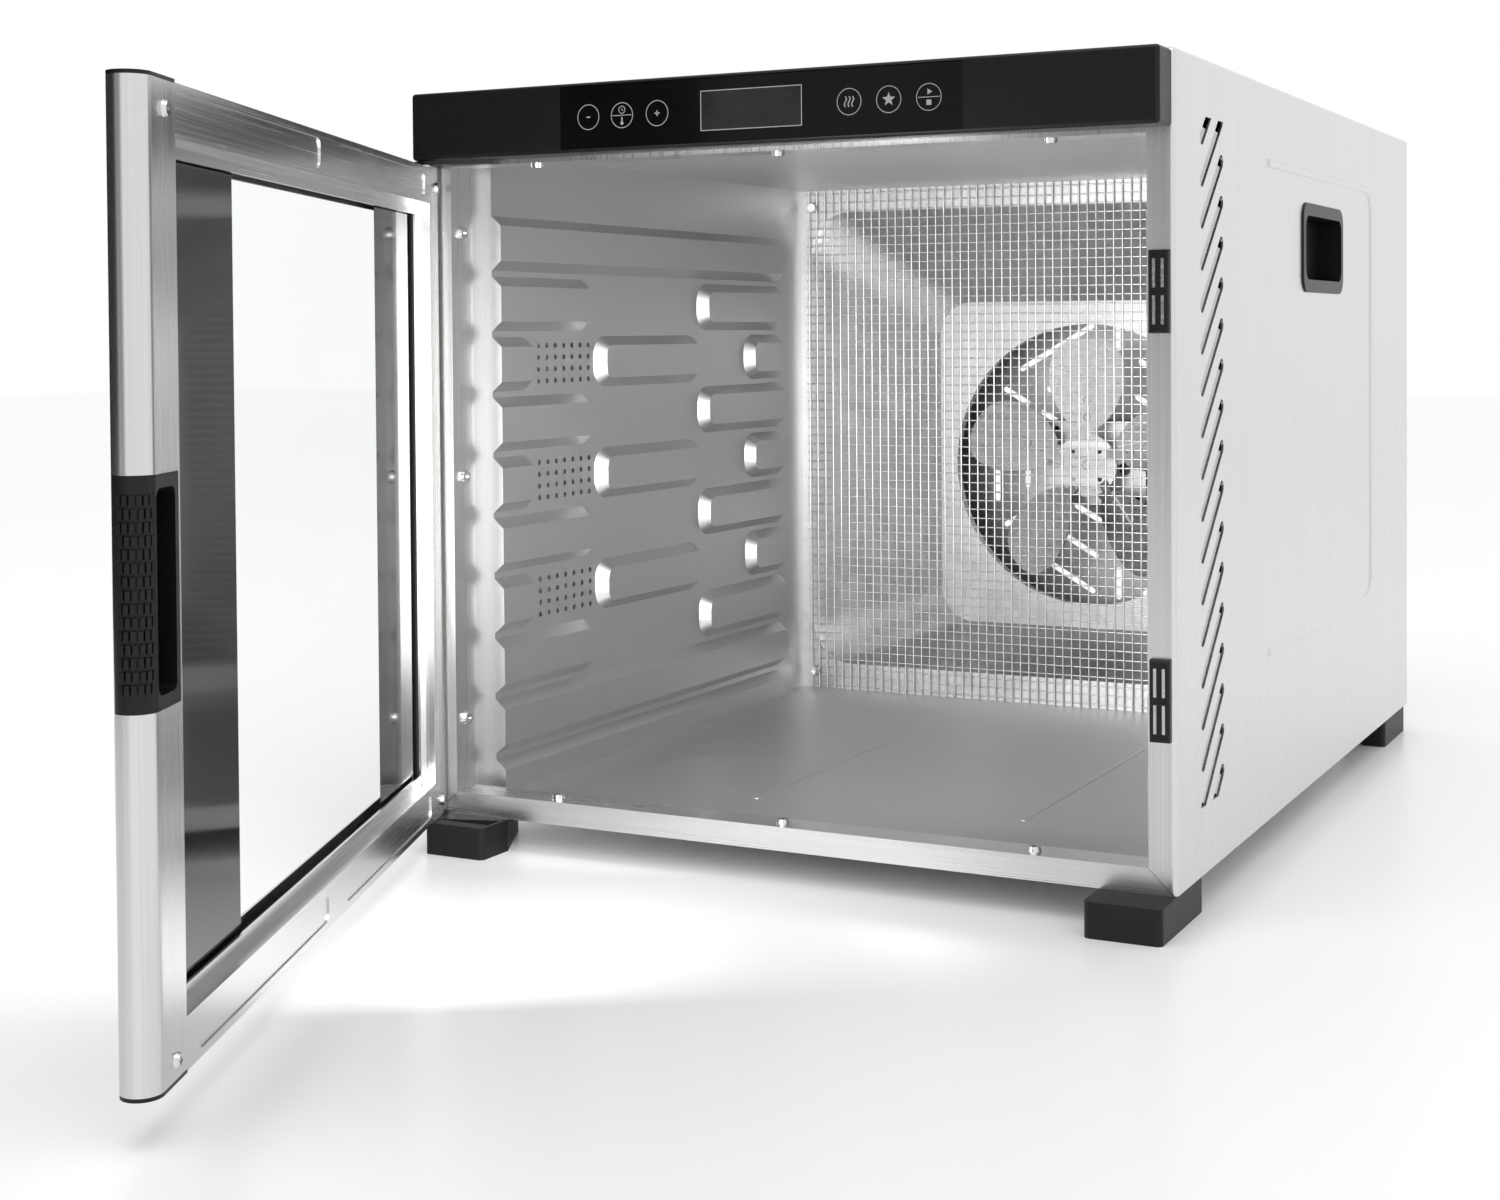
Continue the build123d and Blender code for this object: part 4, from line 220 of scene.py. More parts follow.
class Pattern(Enum):
    """The surface pattern of a finish, with the name of the shader group that draws it."""

    BRUSHED = "brushing"
    FOLDED = "folded_brushing"
    CLOUDED = "clouds"
    SPANGLED = "spangle"


GROUP_MAKERS = {
    Pattern.BRUSHED: make_brush_group,
    Pattern.FOLDED: make_fold_group,
    Pattern.CLOUDED: make_cloud_group,
    Pattern.SPANGLED: make_spangle_group,
}


def shader_group(pattern: Pattern) -> bpy.types.NodeTree:
    """Fetch a pattern's shader group, built on first use."""
    found = bpy.data.node_groups.get(pattern.value)
    return found if found is not None else GROUP_MAKERS[pattern]()


# ------------------------------------------------------------------ finishes
@dataclass(frozen=True)
class Finish:
    """A surface finish: two colours mixed by a pattern, a roughness range and a fine relief."""

    name: str
    dark: Colour
    light: Colour
    metallic: float = 0.0
    smooth: float = 0.3
    rough: float = 0.5
    pattern: Pattern = Pattern.CLOUDED
    scale: float = 60.0
    stretch: Triple = (900.0, 900.0, 6.0)
    front_stretch: Triple = (900.0, 6.0, 6.0)
    relief: float = 0.02
    smudge: float = 0.35
    smudge_scale: float = 9.0
    specular: float = 0.5

    def place_pattern(self, tree: bpy.types.NodeTree) -> bpy.types.NodeSocket:
        """Add the pattern's group to a material.

        Args:
            tree: the material's node tree.

        Returns:
            The socket of the pattern's value.
        """
        node = tree.nodes.new("ShaderNodeGroup")
        node.node_tree = shader_group(self.pattern)
        if self.pattern is Pattern.BRUSHED:
            node.inputs["Stretch"].default_value = self.stretch
        elif self.pattern is Pattern.FOLDED:
            node.inputs["Side"].default_value = self.stretch
            node.inputs["Front"].default_value = self.front_stretch
        else:
            node.inputs["Scale"].default_value = self.scale
        return node.outputs[0]

    def build(self) -> bpy.types.Material:
        """Make the material.

        Returns:
            The finished material.
        """
        material = bpy.data.materials.new(self.name)
        material.use_nodes = True
        tree = material.node_tree
        shader = tree.nodes["Principled BSDF"]
        shader.inputs["Metallic"].default_value = self.metallic
        shader.inputs["Specular IOR Level"].default_value = self.specular
        value = self.place_pattern(tree)
        clouds = tree.nodes.new("ShaderNodeGroup")
        clouds.node_tree = shader_group(Pattern.CLOUDED)
        clouds.inputs["Scale"].default_value = self.smudge_scale

        spread = tree.nodes.new("ShaderNodeMapRange")
        spread.inputs["From Min"].default_value = 0.3
        spread.inputs["From Max"].default_value = 0.7
        tree.links.new(value, spread.inputs["Value"])
        paint = tree.nodes.new("ShaderNodeMix")
        paint.data_type = "RGBA"
        paint.inputs["A"].default_value = (*self.dark, 1.0)
        paint.inputs["B"].default_value = (*self.light, 1.0)
        tree.links.new(spread.outputs["Result"], paint.inputs["Factor"])
        tree.links.new(paint.outputs["Result"], shader.inputs["Base Color"])

        mixed = tree.nodes.new("ShaderNodeMix")
        mixed.inputs["Factor"].default_value = self.smudge
        tree.links.new(spread.outputs["Result"], mixed.inputs["A"])
        tree.links.new(clouds.outputs["Cloud"], mixed.inputs["B"])
        sheen = tree.nodes.new("ShaderNodeMapRange")
        sheen.inputs["To Min"].default_value = self.smooth
        sheen.inputs["To Max"].default_value = self.rough
        tree.links.new(mixed.outputs["Result"], sheen.inputs["Value"])
        tree.links.new(sheen.outputs["Result"], shader.inputs["Roughness"])

        if self.relief > 0:
            bump = tree.nodes.new("ShaderNodeBump")
            bump.inputs["Distance"].default_value = self.relief * MM
            bump.inputs["Strength"].default_value = 0.5
            tree.links.new(value, bump.inputs["Height"])
            tree.links.new(bump.outputs["Normal"], shader.inputs["Normal"])
        return material


@dataclass(frozen=True)
class ClearGlass:
    """Clear glass with a trace of grease that varies its gloss."""

    name: str
    tint: Colour = (0.96, 0.975, 0.97)
    smooth: float = 0.0
    rough: float = 0.03

    def build(self) -> bpy.types.Material:
        """Make the material.

        Returns:
            The finished material.
        """
        material = bpy.data.materials.new(self.name)
        material.use_nodes = True
        tree = material.node_tree
        shader = tree.nodes["Principled BSDF"]
        shader.inputs["Base Color"].default_value = (*self.tint, 1.0)
        shader.inputs["Transmission Weight"].default_value = 1.0
        shader.inputs["IOR"].default_value = 1.02
        film = tree.nodes.new("ShaderNodeGroup")
        film.node_tree = shader_group(Pattern.CLOUDED)
        film.inputs["Scale"].default_value = 14.0
        sheen = tree.nodes.new("ShaderNodeMapRange")
        sheen.inputs["To Min"].default_value = self.smooth
        sheen.inputs["To Max"].default_value = self.rough
        tree.links.new(film.outputs["Cloud"], sheen.inputs["Value"])
        tree.links.new(sheen.outputs["Result"], shader.inputs["Roughness"])
        return material


STEEL = {"metallic": 1.0, "pattern": Pattern.BRUSHED}

FINISHES: dict[str, Finish | ClearGlass] = {
    "brushed_steel": Finish(
        "brushed_steel", (0.66, 0.66, 0.655), (0.74, 0.74, 0.735),
        metallic=1.0, smooth=0.24, rough=0.34,
        pattern=Pattern.FOLDED, stretch=(5.0, 1100.0, 5.0), front_stretch=(1100.0, 5.0, 5.0), relief=0.005,
    ),
    "vent_steel": Finish(
        "vent_steel", (0.5, 0.5, 0.495), (0.6, 0.6, 0.595), metallic=1.0, smooth=0.25, rough=0.4,
        scale=300.0, relief=0.004,
    ),
    "pan_steel": Finish(
        "pan_steel", (0.68, 0.68, 0.675), (0.74, 0.74, 0.735), smooth=0.24, rough=0.34,
        stretch=(5.0, 60.0, 1200.0), relief=0.004, **STEEL,
    ),
    "door_upright": Finish(
        "door_upright", (0.64, 0.64, 0.635), (0.72, 0.72, 0.715), smooth=0.2, rough=0.3,
        stretch=(1000.0, 1000.0, 4.0), relief=0.004, **STEEL,
    ),
    "door_level": Finish(
        "door_level", (0.66, 0.66, 0.655), (0.74, 0.74, 0.735), smooth=0.2, rough=0.3,
        stretch=(6.0, 6.0, 1200.0), relief=0.003, **STEEL,
    ),
    "satin_liner": Finish(
        "satin_liner", (0.5, 0.5, 0.5), (0.55, 0.55, 0.55), metallic=1.0, smooth=0.36, rough=0.48,
        scale=900.0, relief=0.006, smudge=0.5,
    ),
    "galvanised": Finish(
        "galvanised", (0.50, 0.505, 0.51), (0.56, 0.56, 0.56), metallic=1.0, smooth=0.34, rough=0.5,
        pattern=Pattern.SPANGLED, scale=130.0, relief=0.004, smudge=0.7, smudge_scale=30.0,
    ),
    "guard_steel": Finish(
        "guard_steel", (0.46, 0.46, 0.46), (0.6, 0.6, 0.6), metallic=1.0, smooth=0.25, rough=0.4,
        scale=400.0, relief=0.004,
    ),
    # fan_aluminium: base colour darkened well below bare aluminium to paint in the shade over the fan at
    # the back of the chamber
    "fan_aluminium": Finish(
        "fan_aluminium", (0.4, 0.4, 0.4), (0.56, 0.56, 0.56), smooth=0.22, rough=0.42,
        stretch=(14.0, 300.0, 240.0), relief=0.02, **STEEL,
    ),
    "machined_steel": Finish(
        "machined_steel", (0.5, 0.5, 0.5), (0.66, 0.66, 0.66), smooth=0.15, rough=0.3,
        stretch=(700.0, 40.0, 700.0), relief=0.01, **STEEL,
    ),
    "screw_steel": Finish(
        "screw_steel", (0.62, 0.62, 0.61), (0.8, 0.8, 0.79), metallic=1.0, smooth=0.14, rough=0.3,
        scale=700.0, relief=0.004,
    ),
    "laminated_iron": Finish(
        "laminated_iron", (0.1, 0.1, 0.1), (0.24, 0.23, 0.23), smooth=0.45, rough=0.65,
        stretch=(4.0, 2000.0, 4.0), relief=0.08, **STEEL,
    ),
    "copper_coil": Finish(
        "copper_coil", (0.3, 0.1, 0.04), (0.55, 0.24, 0.09), smooth=0.35, rough=0.5,
        stretch=(3.0, 3.0, 2400.0), relief=0.08, **STEEL,
    ),
    "bearing_bronze": Finish(
        "bearing_bronze", (0.42, 0.27, 0.12), (0.6, 0.42, 0.2),
        metallic=1.0, smooth=0.35, rough=0.5, scale=900.0,
    ),
    "zinc_posts": Finish(
        "zinc_posts", (0.5, 0.5, 0.5), (0.64, 0.64, 0.64), smooth=0.3, rough=0.45,
        stretch=(300.0, 20.0, 300.0), **STEEL,
    ),
    "heater_sheath": Finish(
        "heater_sheath", (0.1, 0.085, 0.08), (0.22, 0.2, 0.19),
        metallic=1.0, smooth=0.35, rough=0.6, scale=120.0,
    ),
    "sensor_brass": Finish(
        "sensor_brass", (0.56, 0.42, 0.18), (0.74, 0.58, 0.28),
        metallic=1.0, smooth=0.2, rough=0.35, scale=500.0,
    ),
    "black_plastic": Finish(
        "black_plastic", (0.004, 0.004, 0.004), (0.007, 0.007, 0.007), smooth=0.3, rough=0.42,
        scale=1400.0, relief=0.02, specular=0.3,
    ),
    "hinge_black": Finish(
        "hinge_black", (0.006, 0.006, 0.006), (0.012, 0.012, 0.012),
        smooth=0.3, rough=0.45, scale=800.0,
    ),
    "bush_plastic": Finish(
        "bush_plastic", (0.1, 0.1, 0.1), (0.16, 0.16, 0.16), scale=500.0,
    ),
    "foot_rubber": Finish(
        "foot_rubber", (0.005, 0.005, 0.005), (0.009, 0.009, 0.009),
        smooth=0.4, rough=0.55, scale=900.0,
        relief=0.04, specular=0.3,
    ),
    "gasket_rubber": Finish(
        "gasket_rubber", (0.015, 0.015, 0.015), (0.03, 0.03, 0.03),
        smooth=0.6, rough=0.75, scale=800.0,
    ),
    "panel_glass": Finish(
        "panel_glass", (0.002, 0.002, 0.002), (0.003, 0.003, 0.003), smooth=0.05, rough=0.12,
        scale=20.0, relief=0.0, specular=0.4,
    ),
    "door_clear_glass": ClearGlass("door_clear_glass"),
    "display_grey": Finish(
        "display_grey", (0.03, 0.03, 0.03), (0.06, 0.06, 0.06), smooth=0.15, rough=0.25, scale=40.0,
    ),
    "board_green": Finish(
        "board_green", (0.02, 0.09, 0.04), (0.04, 0.16, 0.07),
        smooth=0.3, rough=0.45, scale=300.0, relief=0.05,
    ),
    "cable_grey": Finish(
        "cable_grey", (0.45, 0.45, 0.45), (0.6, 0.6, 0.6), pattern=Pattern.BRUSHED,
        stretch=(1500.0, 2.0, 2.0), relief=0.1,
    ),
    "panel_print": Finish(
        "panel_print", (0.24, 0.24, 0.24), (0.3, 0.3, 0.3), smooth=0.4, rough=0.5, scale=300.0,
    ),
    "display_window": Finish(
        "display_window", (0.004, 0.004, 0.004), (0.02, 0.02, 0.02),
        smooth=0.06, rough=0.14, scale=22.0, relief=0.0,
    ),
    "glass_print": Finish(
        "glass_print", (0.003, 0.003, 0.003), (0.005, 0.005, 0.005), smooth=0.04, rough=0.1,
        scale=16.0, relief=0.0, specular=0.5,
    ),
}


class FinishRack:
    """Keeps each finish's material, made when it is first asked for."""

    def __init__(self) -> None:
        """Start with no materials."""
        self.made: dict[str, bpy.types.Material] = {}

    def get(self, name: str) -> bpy.types.Material:
        """Give the material of a finish, making it if need be."""
        if name not in self.made:
            self.made[name] = FINISHES[name].build()
        return self.made[name]

    def coat_node(self, node: bpy.types.Object, name: str) -> None:
        """Put a finish on every material slot of a CAD node.

        Args:
            node: the node's object.
            name: the finish's name.
        """
        for material_slot in node.material_slots:
            material_slot.material = self.get(name)


# ------------------------------------------------------------------ mesh helpers
def to_piece(
    bm: bmesh.types.BMesh,
    name: str,
    body: str,
    material: bpy.types.Material,
    smooth: bool = False,
) -> bpy.types.Object:
    """Turn a bmesh into a piece that rides on a body.

    Args:
        bm: the mesh; it is freed here.
        name: the piece's name.
        body: the body that it rides on.
        material: its material.
        smooth: whether its faces are shaded smooth.

    Returns:
        The new object.
    """
    bmesh.ops.recalc_face_normals(bm, faces=bm.faces)
    for face in bm.faces:
        face.smooth = smooth
    mesh = bpy.data.meshes.new(name)
    bm.to_mesh(mesh)
    bm.free()
    piece = bpy.data.objects.new(name, mesh)
    bpy.context.scene.collection.objects.link(piece)
    mesh.materials.append(material)
    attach(piece, body)
    log.info("%s: %d faces", name, len(mesh.polygons))
    return piece


def add_block(
    bm: bmesh.types.BMesh, centre: Vector, size: Triple, edge: float = 0.0, turn: float = 0.0
) -> None:
    """Add a block to a bmesh, with rounded edges if asked.

    Args:
        bm: the mesh to add to.
        centre: its middle, in metres.
        size: its three sizes, in metres.
        edge: the width of the rounded edges, or 0.
        turn: rotation about the vertical through the centre, in radians.
    """
    made = bmesh.ops.create_cube(bm, size=1.0)["verts"]
    bmesh.ops.scale(bm, vec=size, verts=made)
    bmesh.ops.rotate(bm, cent=(0, 0, 0), matrix=Matrix.Rotation(turn, 3, "Z"), verts=made)
    bmesh.ops.translate(bm, vec=centre, verts=made)
    if edge > 0:
        edges = list({line for vert in made for line in vert.link_edges})
        bmesh.ops.bevel(bm, geom=edges, offset=edge, segments=2, profile=0.5, affect="EDGES", material=-1)


@dataclass
class PanelDrawing:
    """Thin marks on an upright front face; places are in millimetres from the face's middle."""

    middle: Vector
    proud: float = 0.05
    sunk: float = 0.03
    mesh: bmesh.types.BMesh = field(default_factory=bmesh.new)

    def raise_faces(self, faces: list[bmesh.types.BMFace]) -> None:
        """Give flat faces their thickness, with their fronts proud of the panel.

        Args:
            faces: faces drawn in the plane z = 0 of the drawing.
        """
        grown = bmesh.ops.extrude_face_region(self.mesh, geom=faces)["geom"]
        tops = [item for item in grown if isinstance(item, bmesh.types.BMVert)]
        bmesh.ops.translate(self.mesh, vec=(0, 0, self.proud + self.sunk), verts=tops)

    def bar(self, x: float, y: float, width: float, height: float, turn: float = 0.0) -> None:
        """Draw a straight bar about a point, turned by some degrees."""
        verts = bmesh.ops.create_grid(self.mesh, x_segments=1, y_segments=1, size=0.5)["verts"]
        bmesh.ops.scale(self.mesh, vec=(width, height, 1), verts=verts)
        bmesh.ops.rotate(self.mesh, matrix=Matrix.Rotation(math.radians(turn), 3, "Z"), verts=verts)
        bmesh.ops.translate(self.mesh, vec=(x, y, 0), verts=verts)
        self.raise_faces(list({face for vert in verts for face in vert.link_faces}))

    def polygon(self, x: float, y: float, sides: int, radius: float, turn: float = 0.0,
                waist: float = 1.0) -> None:
        """Draw a regular polygon, or a star when every second corner is drawn in by waist."""
        verts = bmesh.ops.create_circle(self.mesh, cap_ends=True, segments=sides, radius=radius)["verts"]
        bmesh.ops.scale(self.mesh, vec=(waist, waist, 1), verts=verts[1::2] if waist != 1.0 else [])
        bmesh.ops.rotate(self.mesh, matrix=Matrix.Rotation(math.radians(turn), 3, "Z"), verts=verts)
        bmesh.ops.translate(self.mesh, vec=(x, y, 0), verts=verts)
        self.raise_faces(list({face for vert in verts for face in vert.link_faces}))

    def ring(self, x: float, y: float, radius: float, line: float, segments: int = 48) -> None:
        """Draw a circle of a given line width."""
        height = self.proud + self.sunk
        corners = [self.mesh.verts.new((x + radius + side * line / 2, y, 0)) for side in (-1, 1)]
        corners += [self.mesh.verts.new((x + radius + side * line / 2, y, height)) for side in (1, -1)]
        edges = [self.mesh.edges.new((corners[i], corners[(i + 1) % 4])) for i in range(4)]
        bmesh.ops.spin(
            self.mesh, geom=corners + edges, cent=(x, y, 0), axis=(0, 0, 1),
            angle=2 * math.pi, steps=segments, use_merge=True,
        )

    def wave(self, x: float, y: float, height: float, swing: float, line: float, steps: int = 12) -> None:
        """Draw an upright wavy line, as a sign of warm air."""
        verts = bmesh.ops.create_grid(self.mesh, x_segments=1, y_segments=steps, size=0.5)["verts"]
        for vert in verts:
            vert.co.x = vert.co.x * line + swing * math.sin(vert.co.y * 2 * math.pi)
            vert.co.y *= height
        bmesh.ops.translate(self.mesh, vec=(x, y, 0), verts=verts)
        self.raise_faces(list({face for vert in verts for face in vert.link_faces}))

    def finish(self, name: str, material: bpy.types.Material) -> bpy.types.Object:
        """Stand the drawing up on the panel's face and make it a piece.

        Args:
            name: the piece's name.
            material: its material.

        Returns:
            The new object.
        """
        bmesh.ops.scale(self.mesh, vec=(MM, MM, MM), verts=self.mesh.verts)
        bmesh.ops.translate(self.mesh, vec=(0, 0, -self.sunk * MM), verts=self.mesh.verts)
        bmesh.ops.rotate(self.mesh, matrix=Matrix.Rotation(math.pi / 2, 3, "X"), verts=self.mesh.verts)
        bmesh.ops.translate(self.mesh, vec=self.middle, verts=self.mesh.verts)
        return to_piece(self.mesh, name, "cabinet", material)


# ------------------------------------------------------------------ sub-assemblies
@dataclass
class ControlPanel:
    """The touch panel: key rings with their signs, and the display window in its frame."""

    rack: FinishRack
    ring_radius: float = 5.25
    ring_line: float = 0.3
    left_keys: Triple = (-78.5, -61.9, -44.8)
    right_keys: Triple = (43.7, 61.0, 78.2)
    key_rise: float = -0.1
    window_middle: tuple[float, float] = (-0.7, -0.3)
    window_size: tuple[float, float] = (46.4, 16.2)
    frame_line: float = 0.35
    sign_line: float = 0.5
    thin_line: float = 0.3
    divider_gap: float = 1.2
    minus_length: float = 1.8
    plus_length: float = 2.4
    clock_rise: float = 2.3
    clock_radius: float = 1.5
    wave_spacing: float = 1.6
    wave_height: float = 4.2
    wave_swing: float = 0.45
    star_radius: float = 2.9
    star_waist: float = 0.42
    half_sign_rise: float = 2.1
    play_radius: float = 1.35
    stop_size: float = 2.1

    def face_middle(self) -> Vector:
        """Give the middle of the touch glass's front face."""
        low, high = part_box("touch_glass")
        return Vector(((low.x + high.x) / 2, low.y, (low.z + high.z) / 2))

    def draw_signs(self, drawing: PanelDrawing) -> None:
        """Draw the sign inside each key ring.

        Args:
            drawing: the drawing to add to.
        """
        line, thin, rise = self.sign_line, self.thin_line, self.key_rise
        minus_x, clock_x, plus_x = self.left_keys
        heat_x, star_x, play_x = self.right_keys
        divider = 2 * self.ring_radius - self.divider_gap
        drawing.bar(minus_x, rise, self.minus_length, line)
        drawing.bar(plus_x, rise, self.plus_length, line)
        drawing.bar(plus_x, rise, line, self.plus_length)
        # clock above a level line, thermometer below it
        drawing.bar(clock_x, rise, divider, thin)
        drawing.bar(clock_x, rise + 2.45, thin, 1.0)
        drawing.bar(clock_x + 0.35, rise + 2.05, 0.7, thin)
        drawing.bar(clock_x, rise - 1.9, 0.6, 2.2)
        drawing.polygon(clock_x, rise - 3.3, 16, 0.75)
        # three waves of warm air
        for place in (-1, 0, 1):
            drawing.wave(heat_x + place * self.wave_spacing, rise, self.wave_height, self.wave_swing, line)
        drawing.polygon(star_x, rise, 10, self.star_radius, waist=self.star_waist)
        # play above a level line, stop below it
        drawing.bar(play_x, rise, divider, thin)
        drawing.polygon(play_x + 0.1, rise + self.half_sign_rise, 3, self.play_radius, turn=-90)
        drawing.bar(play_x, rise - self.half_sign_rise, self.stop_size, self.stop_size)

    def build(self) -> None:
        """Make the printed marks and the display window."""
        middle = self.face_middle()
        rings = PanelDrawing(middle)
        for x in self.left_keys + self.right_keys:
            rings.ring(x, self.key_rise, self.ring_radius, self.ring_line)
        clock_height = self.key_rise + self.clock_rise
        rings.ring(self.left_keys[1], clock_height, self.clock_radius, self.thin_line, segments=24)
        rings.finish("key_rings", self.rack.get("panel_print"))
        signs = PanelDrawing(middle)
        self.draw_signs(signs)
        signs.finish("key_signs", self.rack.get("panel_print"))

        x, y = self.window_middle
        width, height = self.window_size
        frame = PanelDrawing(middle)
        for side in (-1, 1):
            frame.bar(x + side * width / 2, y, self.frame_line, height + self.frame_line)
            frame.bar(x, y + side * height / 2, width - self.frame_line, self.frame_line)
        frame.finish("display_frame", self.rack.get("panel_print"))
        window = PanelDrawing(middle, proud=0.02)
        window.bar(x, y, width - self.frame_line, height - self.frame_line)
        window.finish("display_window", self.rack.get("display_window"))


@dataclass
class Door:
    """The glazed door: printed bands on its glass and the ribbed strip of its grip."""

    rack: FinishRack
    axis: Vector
    open_angle: float
    clear_from: float = 79.0
    clear_to: float = 257.0
    print_thickness: float = 0.1
    glass_depth: tuple[float, float] = (-8.0, -4.0)
    free_edge: float = 354.0
    glass_sides: tuple[float, float] = (13.3, 328.7)
    end_gap: float = 0.4
    print_lift: float = 0.01
    edge_round: float = 6.3
    round_overhang: float = 1.0
    middle_depth: float = -2.7
    pad_rows: int = 15
    pad_columns: int = 6
    pad_size: Triple = (0.5, 1.5, 2.9)
    pad_edge: float = 0.12
    pad_lift: float = 0.02
    pad_margin: float = 5.0
    pad_first_angle: float = -20.0
    pad_angle_step: float = 18.0
    pad_stagger: float = 5.0

    def across(self) -> Vector:
        """Give the direction from the hinge to the free edge."""
        return Vector((math.cos(self.open_angle), -math.sin(self.open_angle), 0))

    def inwards(self) -> Vector:
        """Give the direction from the door's outside to its inside."""
        return Vector((math.sin(self.open_angle), math.cos(self.open_angle), 0))

    def point(self, u: float, v: float, z: float) -> Vector:
        """Give a place on the door: u across and v through it in millimetres, z in metres."""
        flat = Vector((self.axis.x, self.axis.y, 0))
        return flat + self.across() * u * MM + self.inwards() * v * MM + Vector((0, 0, z))

    def build_bands(self) -> None:
        """Make the black print along both sides of the glass."""
        low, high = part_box("door_glass")
        height = high.z - low.z
        glass_left, glass_right = self.glass_sides
        mid_z = (low.z + high.z) / 2
        for name, start, end in (
            ("glass_band_hinge", glass_left, self.clear_from),
            ("glass_band_handle", self.clear_to, glass_right),
        ):
            bm = bmesh.new()
            depth = self.glass_depth[1] + self.print_thickness / 2 + self.print_lift
            centre = self.point((start + end) / 2, depth, mid_z)
            size = ((end - start) * MM, self.print_thickness * MM, height - self.end_gap * MM)
            add_block(bm, centre, size, turn=-self.open_angle)
            to_piece(bm, name, "door", self.rack.get("glass_print"))

    def build_grip_pads(self) -> None:
        """Make the small raised pads on the rounded side of the grip."""
        low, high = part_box("door_grip")
        bm = bmesh.new()
        radius = self.edge_round + self.pad_lift
        size = tuple(length * MM for length in self.pad_size)
        step = (high.z - low.z - 2 * self.pad_margin * MM) / self.pad_rows
        for row in range(self.pad_rows):
            z = low.z + self.pad_margin * MM + step * (row + 0.5)
            for column in range(self.pad_columns):
                angle = self.pad_first_angle + column * self.pad_angle_step + (row % 2) * self.pad_stagger
                swing = math.radians(angle)
                u = self.free_edge + self.round_overhang - self.edge_round + radius * math.cos(swing)
                v = self.middle_depth + radius * math.sin(swing)
                turn = swing - self.open_angle
                add_block(bm, self.point(u, v, z), size, edge=self.pad_edge * MM, turn=turn)
        to_piece(bm, "grip_pads", "door", self.rack.get("black_plastic"))

    def build(self) -> None:
        """Make every added piece of the door."""
        self.build_bands()
        self.build_grip_pads()


@dataclass
class ChamberFloor:
    """Shallow stiffening beads pressed up in the chamber's floor."""

    rack: FinishRack
    bead_radius: float = 1.6
    bead_rise: float = 0.45
    runs: tuple[tuple[Triple, Triple], ...] = (
        ((-42.5, 64.0, 0.0), (-42.5, 262.0, 0.0)),
        ((82.5, 74.0, 0.0), (82.5, 245.0, 0.0)),
    )

    def build(self) -> None:
        """Make the beads as low rounded ridges."""
        low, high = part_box("floor_liner")
        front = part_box("outer_shell")[0].y
        bm = bmesh.new()
        for start, end in self.runs:
            length = (end[1] - start[1]) * MM
            made = bmesh.ops.create_icosphere(bm, subdivisions=3, radius=self.bead_radius * MM)["verts"]
            for vert in made:
                vert.co.z *= self.bead_rise / self.bead_radius
                vert.co.y += math.copysign(length / 2, vert.co.y) if abs(vert.co.y) > 1e-7 else 0.0
            centre = Vector((start[0] * MM, front + (start[1] + end[1]) / 2 * MM, self.floor_top()))
            bmesh.ops.translate(bm, vec=centre, verts=made)
        to_piece(bm, "floor_beads", "cabinet", self.rack.get("satin_liner"), smooth=True)

    def floor_top(self) -> float:
        """Give the height of the chamber's floor."""
        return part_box("left_rack_wall")[0].z


@dataclass
class SideVents:
    """Flaps bent inwards along the lower edge of each slanting slot in the cabinet's sides."""

    rack: FinishRack
    slots: int = 18
    pitch: float = 16.5
    run: float = 28.0
    rise: float = 25.5
    front: float = 36.0
    first_middle: float = 23.5
    low_limit: float = 27.0
    high_limit: float = 300.0
    half_width: float = 2.6
    depth: float = 3.2
    lean: float = 3.6
    lap: float = 0.3
    wall: float = 1.0
    sheet: float = 0.5
    side_overhang: float = 1.5
    shortest: float = 0.1

    def slot_line(self, index: int) -> tuple[float, float] | None:
        """Give the part of a slot that lies within the vent field.

        Args:
            index: the slot, counted from the lowest.

        Returns:
            The two ends as shares of the run, or None where nothing is left.
        """
        middle = self.first_middle + index * self.pitch
        foot = middle - self.rise / 2
        start = max(0.0, (self.low_limit + self.half_width - foot) / self.rise)
        end = min(1.0, (self.high_limit - self.half_width - foot) / self.rise)
        return (start, end) if end - start > self.shortest else None

    def build_side(self, side: int) -> None:
        """Make the flaps of one side.

        Args:
            side: 1 for the right side of the cabinet, -1 for the left.
        """
        low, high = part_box("bottom_pan")
        front, under = low.y, low.z
        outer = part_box("control_housing")[1].x + self.side_overhang * MM
        length = math.hypot(self.run, self.rise)
        along = Vector((0, self.run, self.rise)) / length
        below = Vector((0, self.rise, -self.run)) / length
        bm = bmesh.new()
        for index in range(self.slots):
            span = self.slot_line(index)
            if span is None:
                continue
            middle = self.first_middle + index * self.pitch
            base = Vector((0, self.front, middle - self.rise / 2))
            ends = [base + along * length * share for share in span]
            lower, upper = self.half_width + self.lap, self.half_width - self.lean
            section = (
                (lower, self.wall), (lower, self.wall + self.sheet),
                (upper, self.wall + self.depth), (upper, self.wall - self.sheet + self.depth),
            )
            rings = []
            for end in ends:
                ring = []
                for offset, inward in section:
                    place = end + below * offset
                    x = side * (outer - inward * MM)
                    ring.append(bm.verts.new((x, front + place.y * MM, under + place.z * MM)))
                rings.append(ring)
            for step in range(4):
                following = (step + 1) % 4
                bm.faces.new((rings[0][step], rings[0][following], rings[1][following], rings[1][step]))
            bm.faces.new(rings[0])
            bm.faces.new(rings[1][::-1])
        name = "vent_flaps_right" if side > 0 else "vent_flaps_left"
        to_piece(bm, name, "cabinet", self.rack.get("vent_steel"))

    def build(self) -> None:
        """Make the flaps of both sides."""
        for side in (-1, 1):
            self.build_side(side)


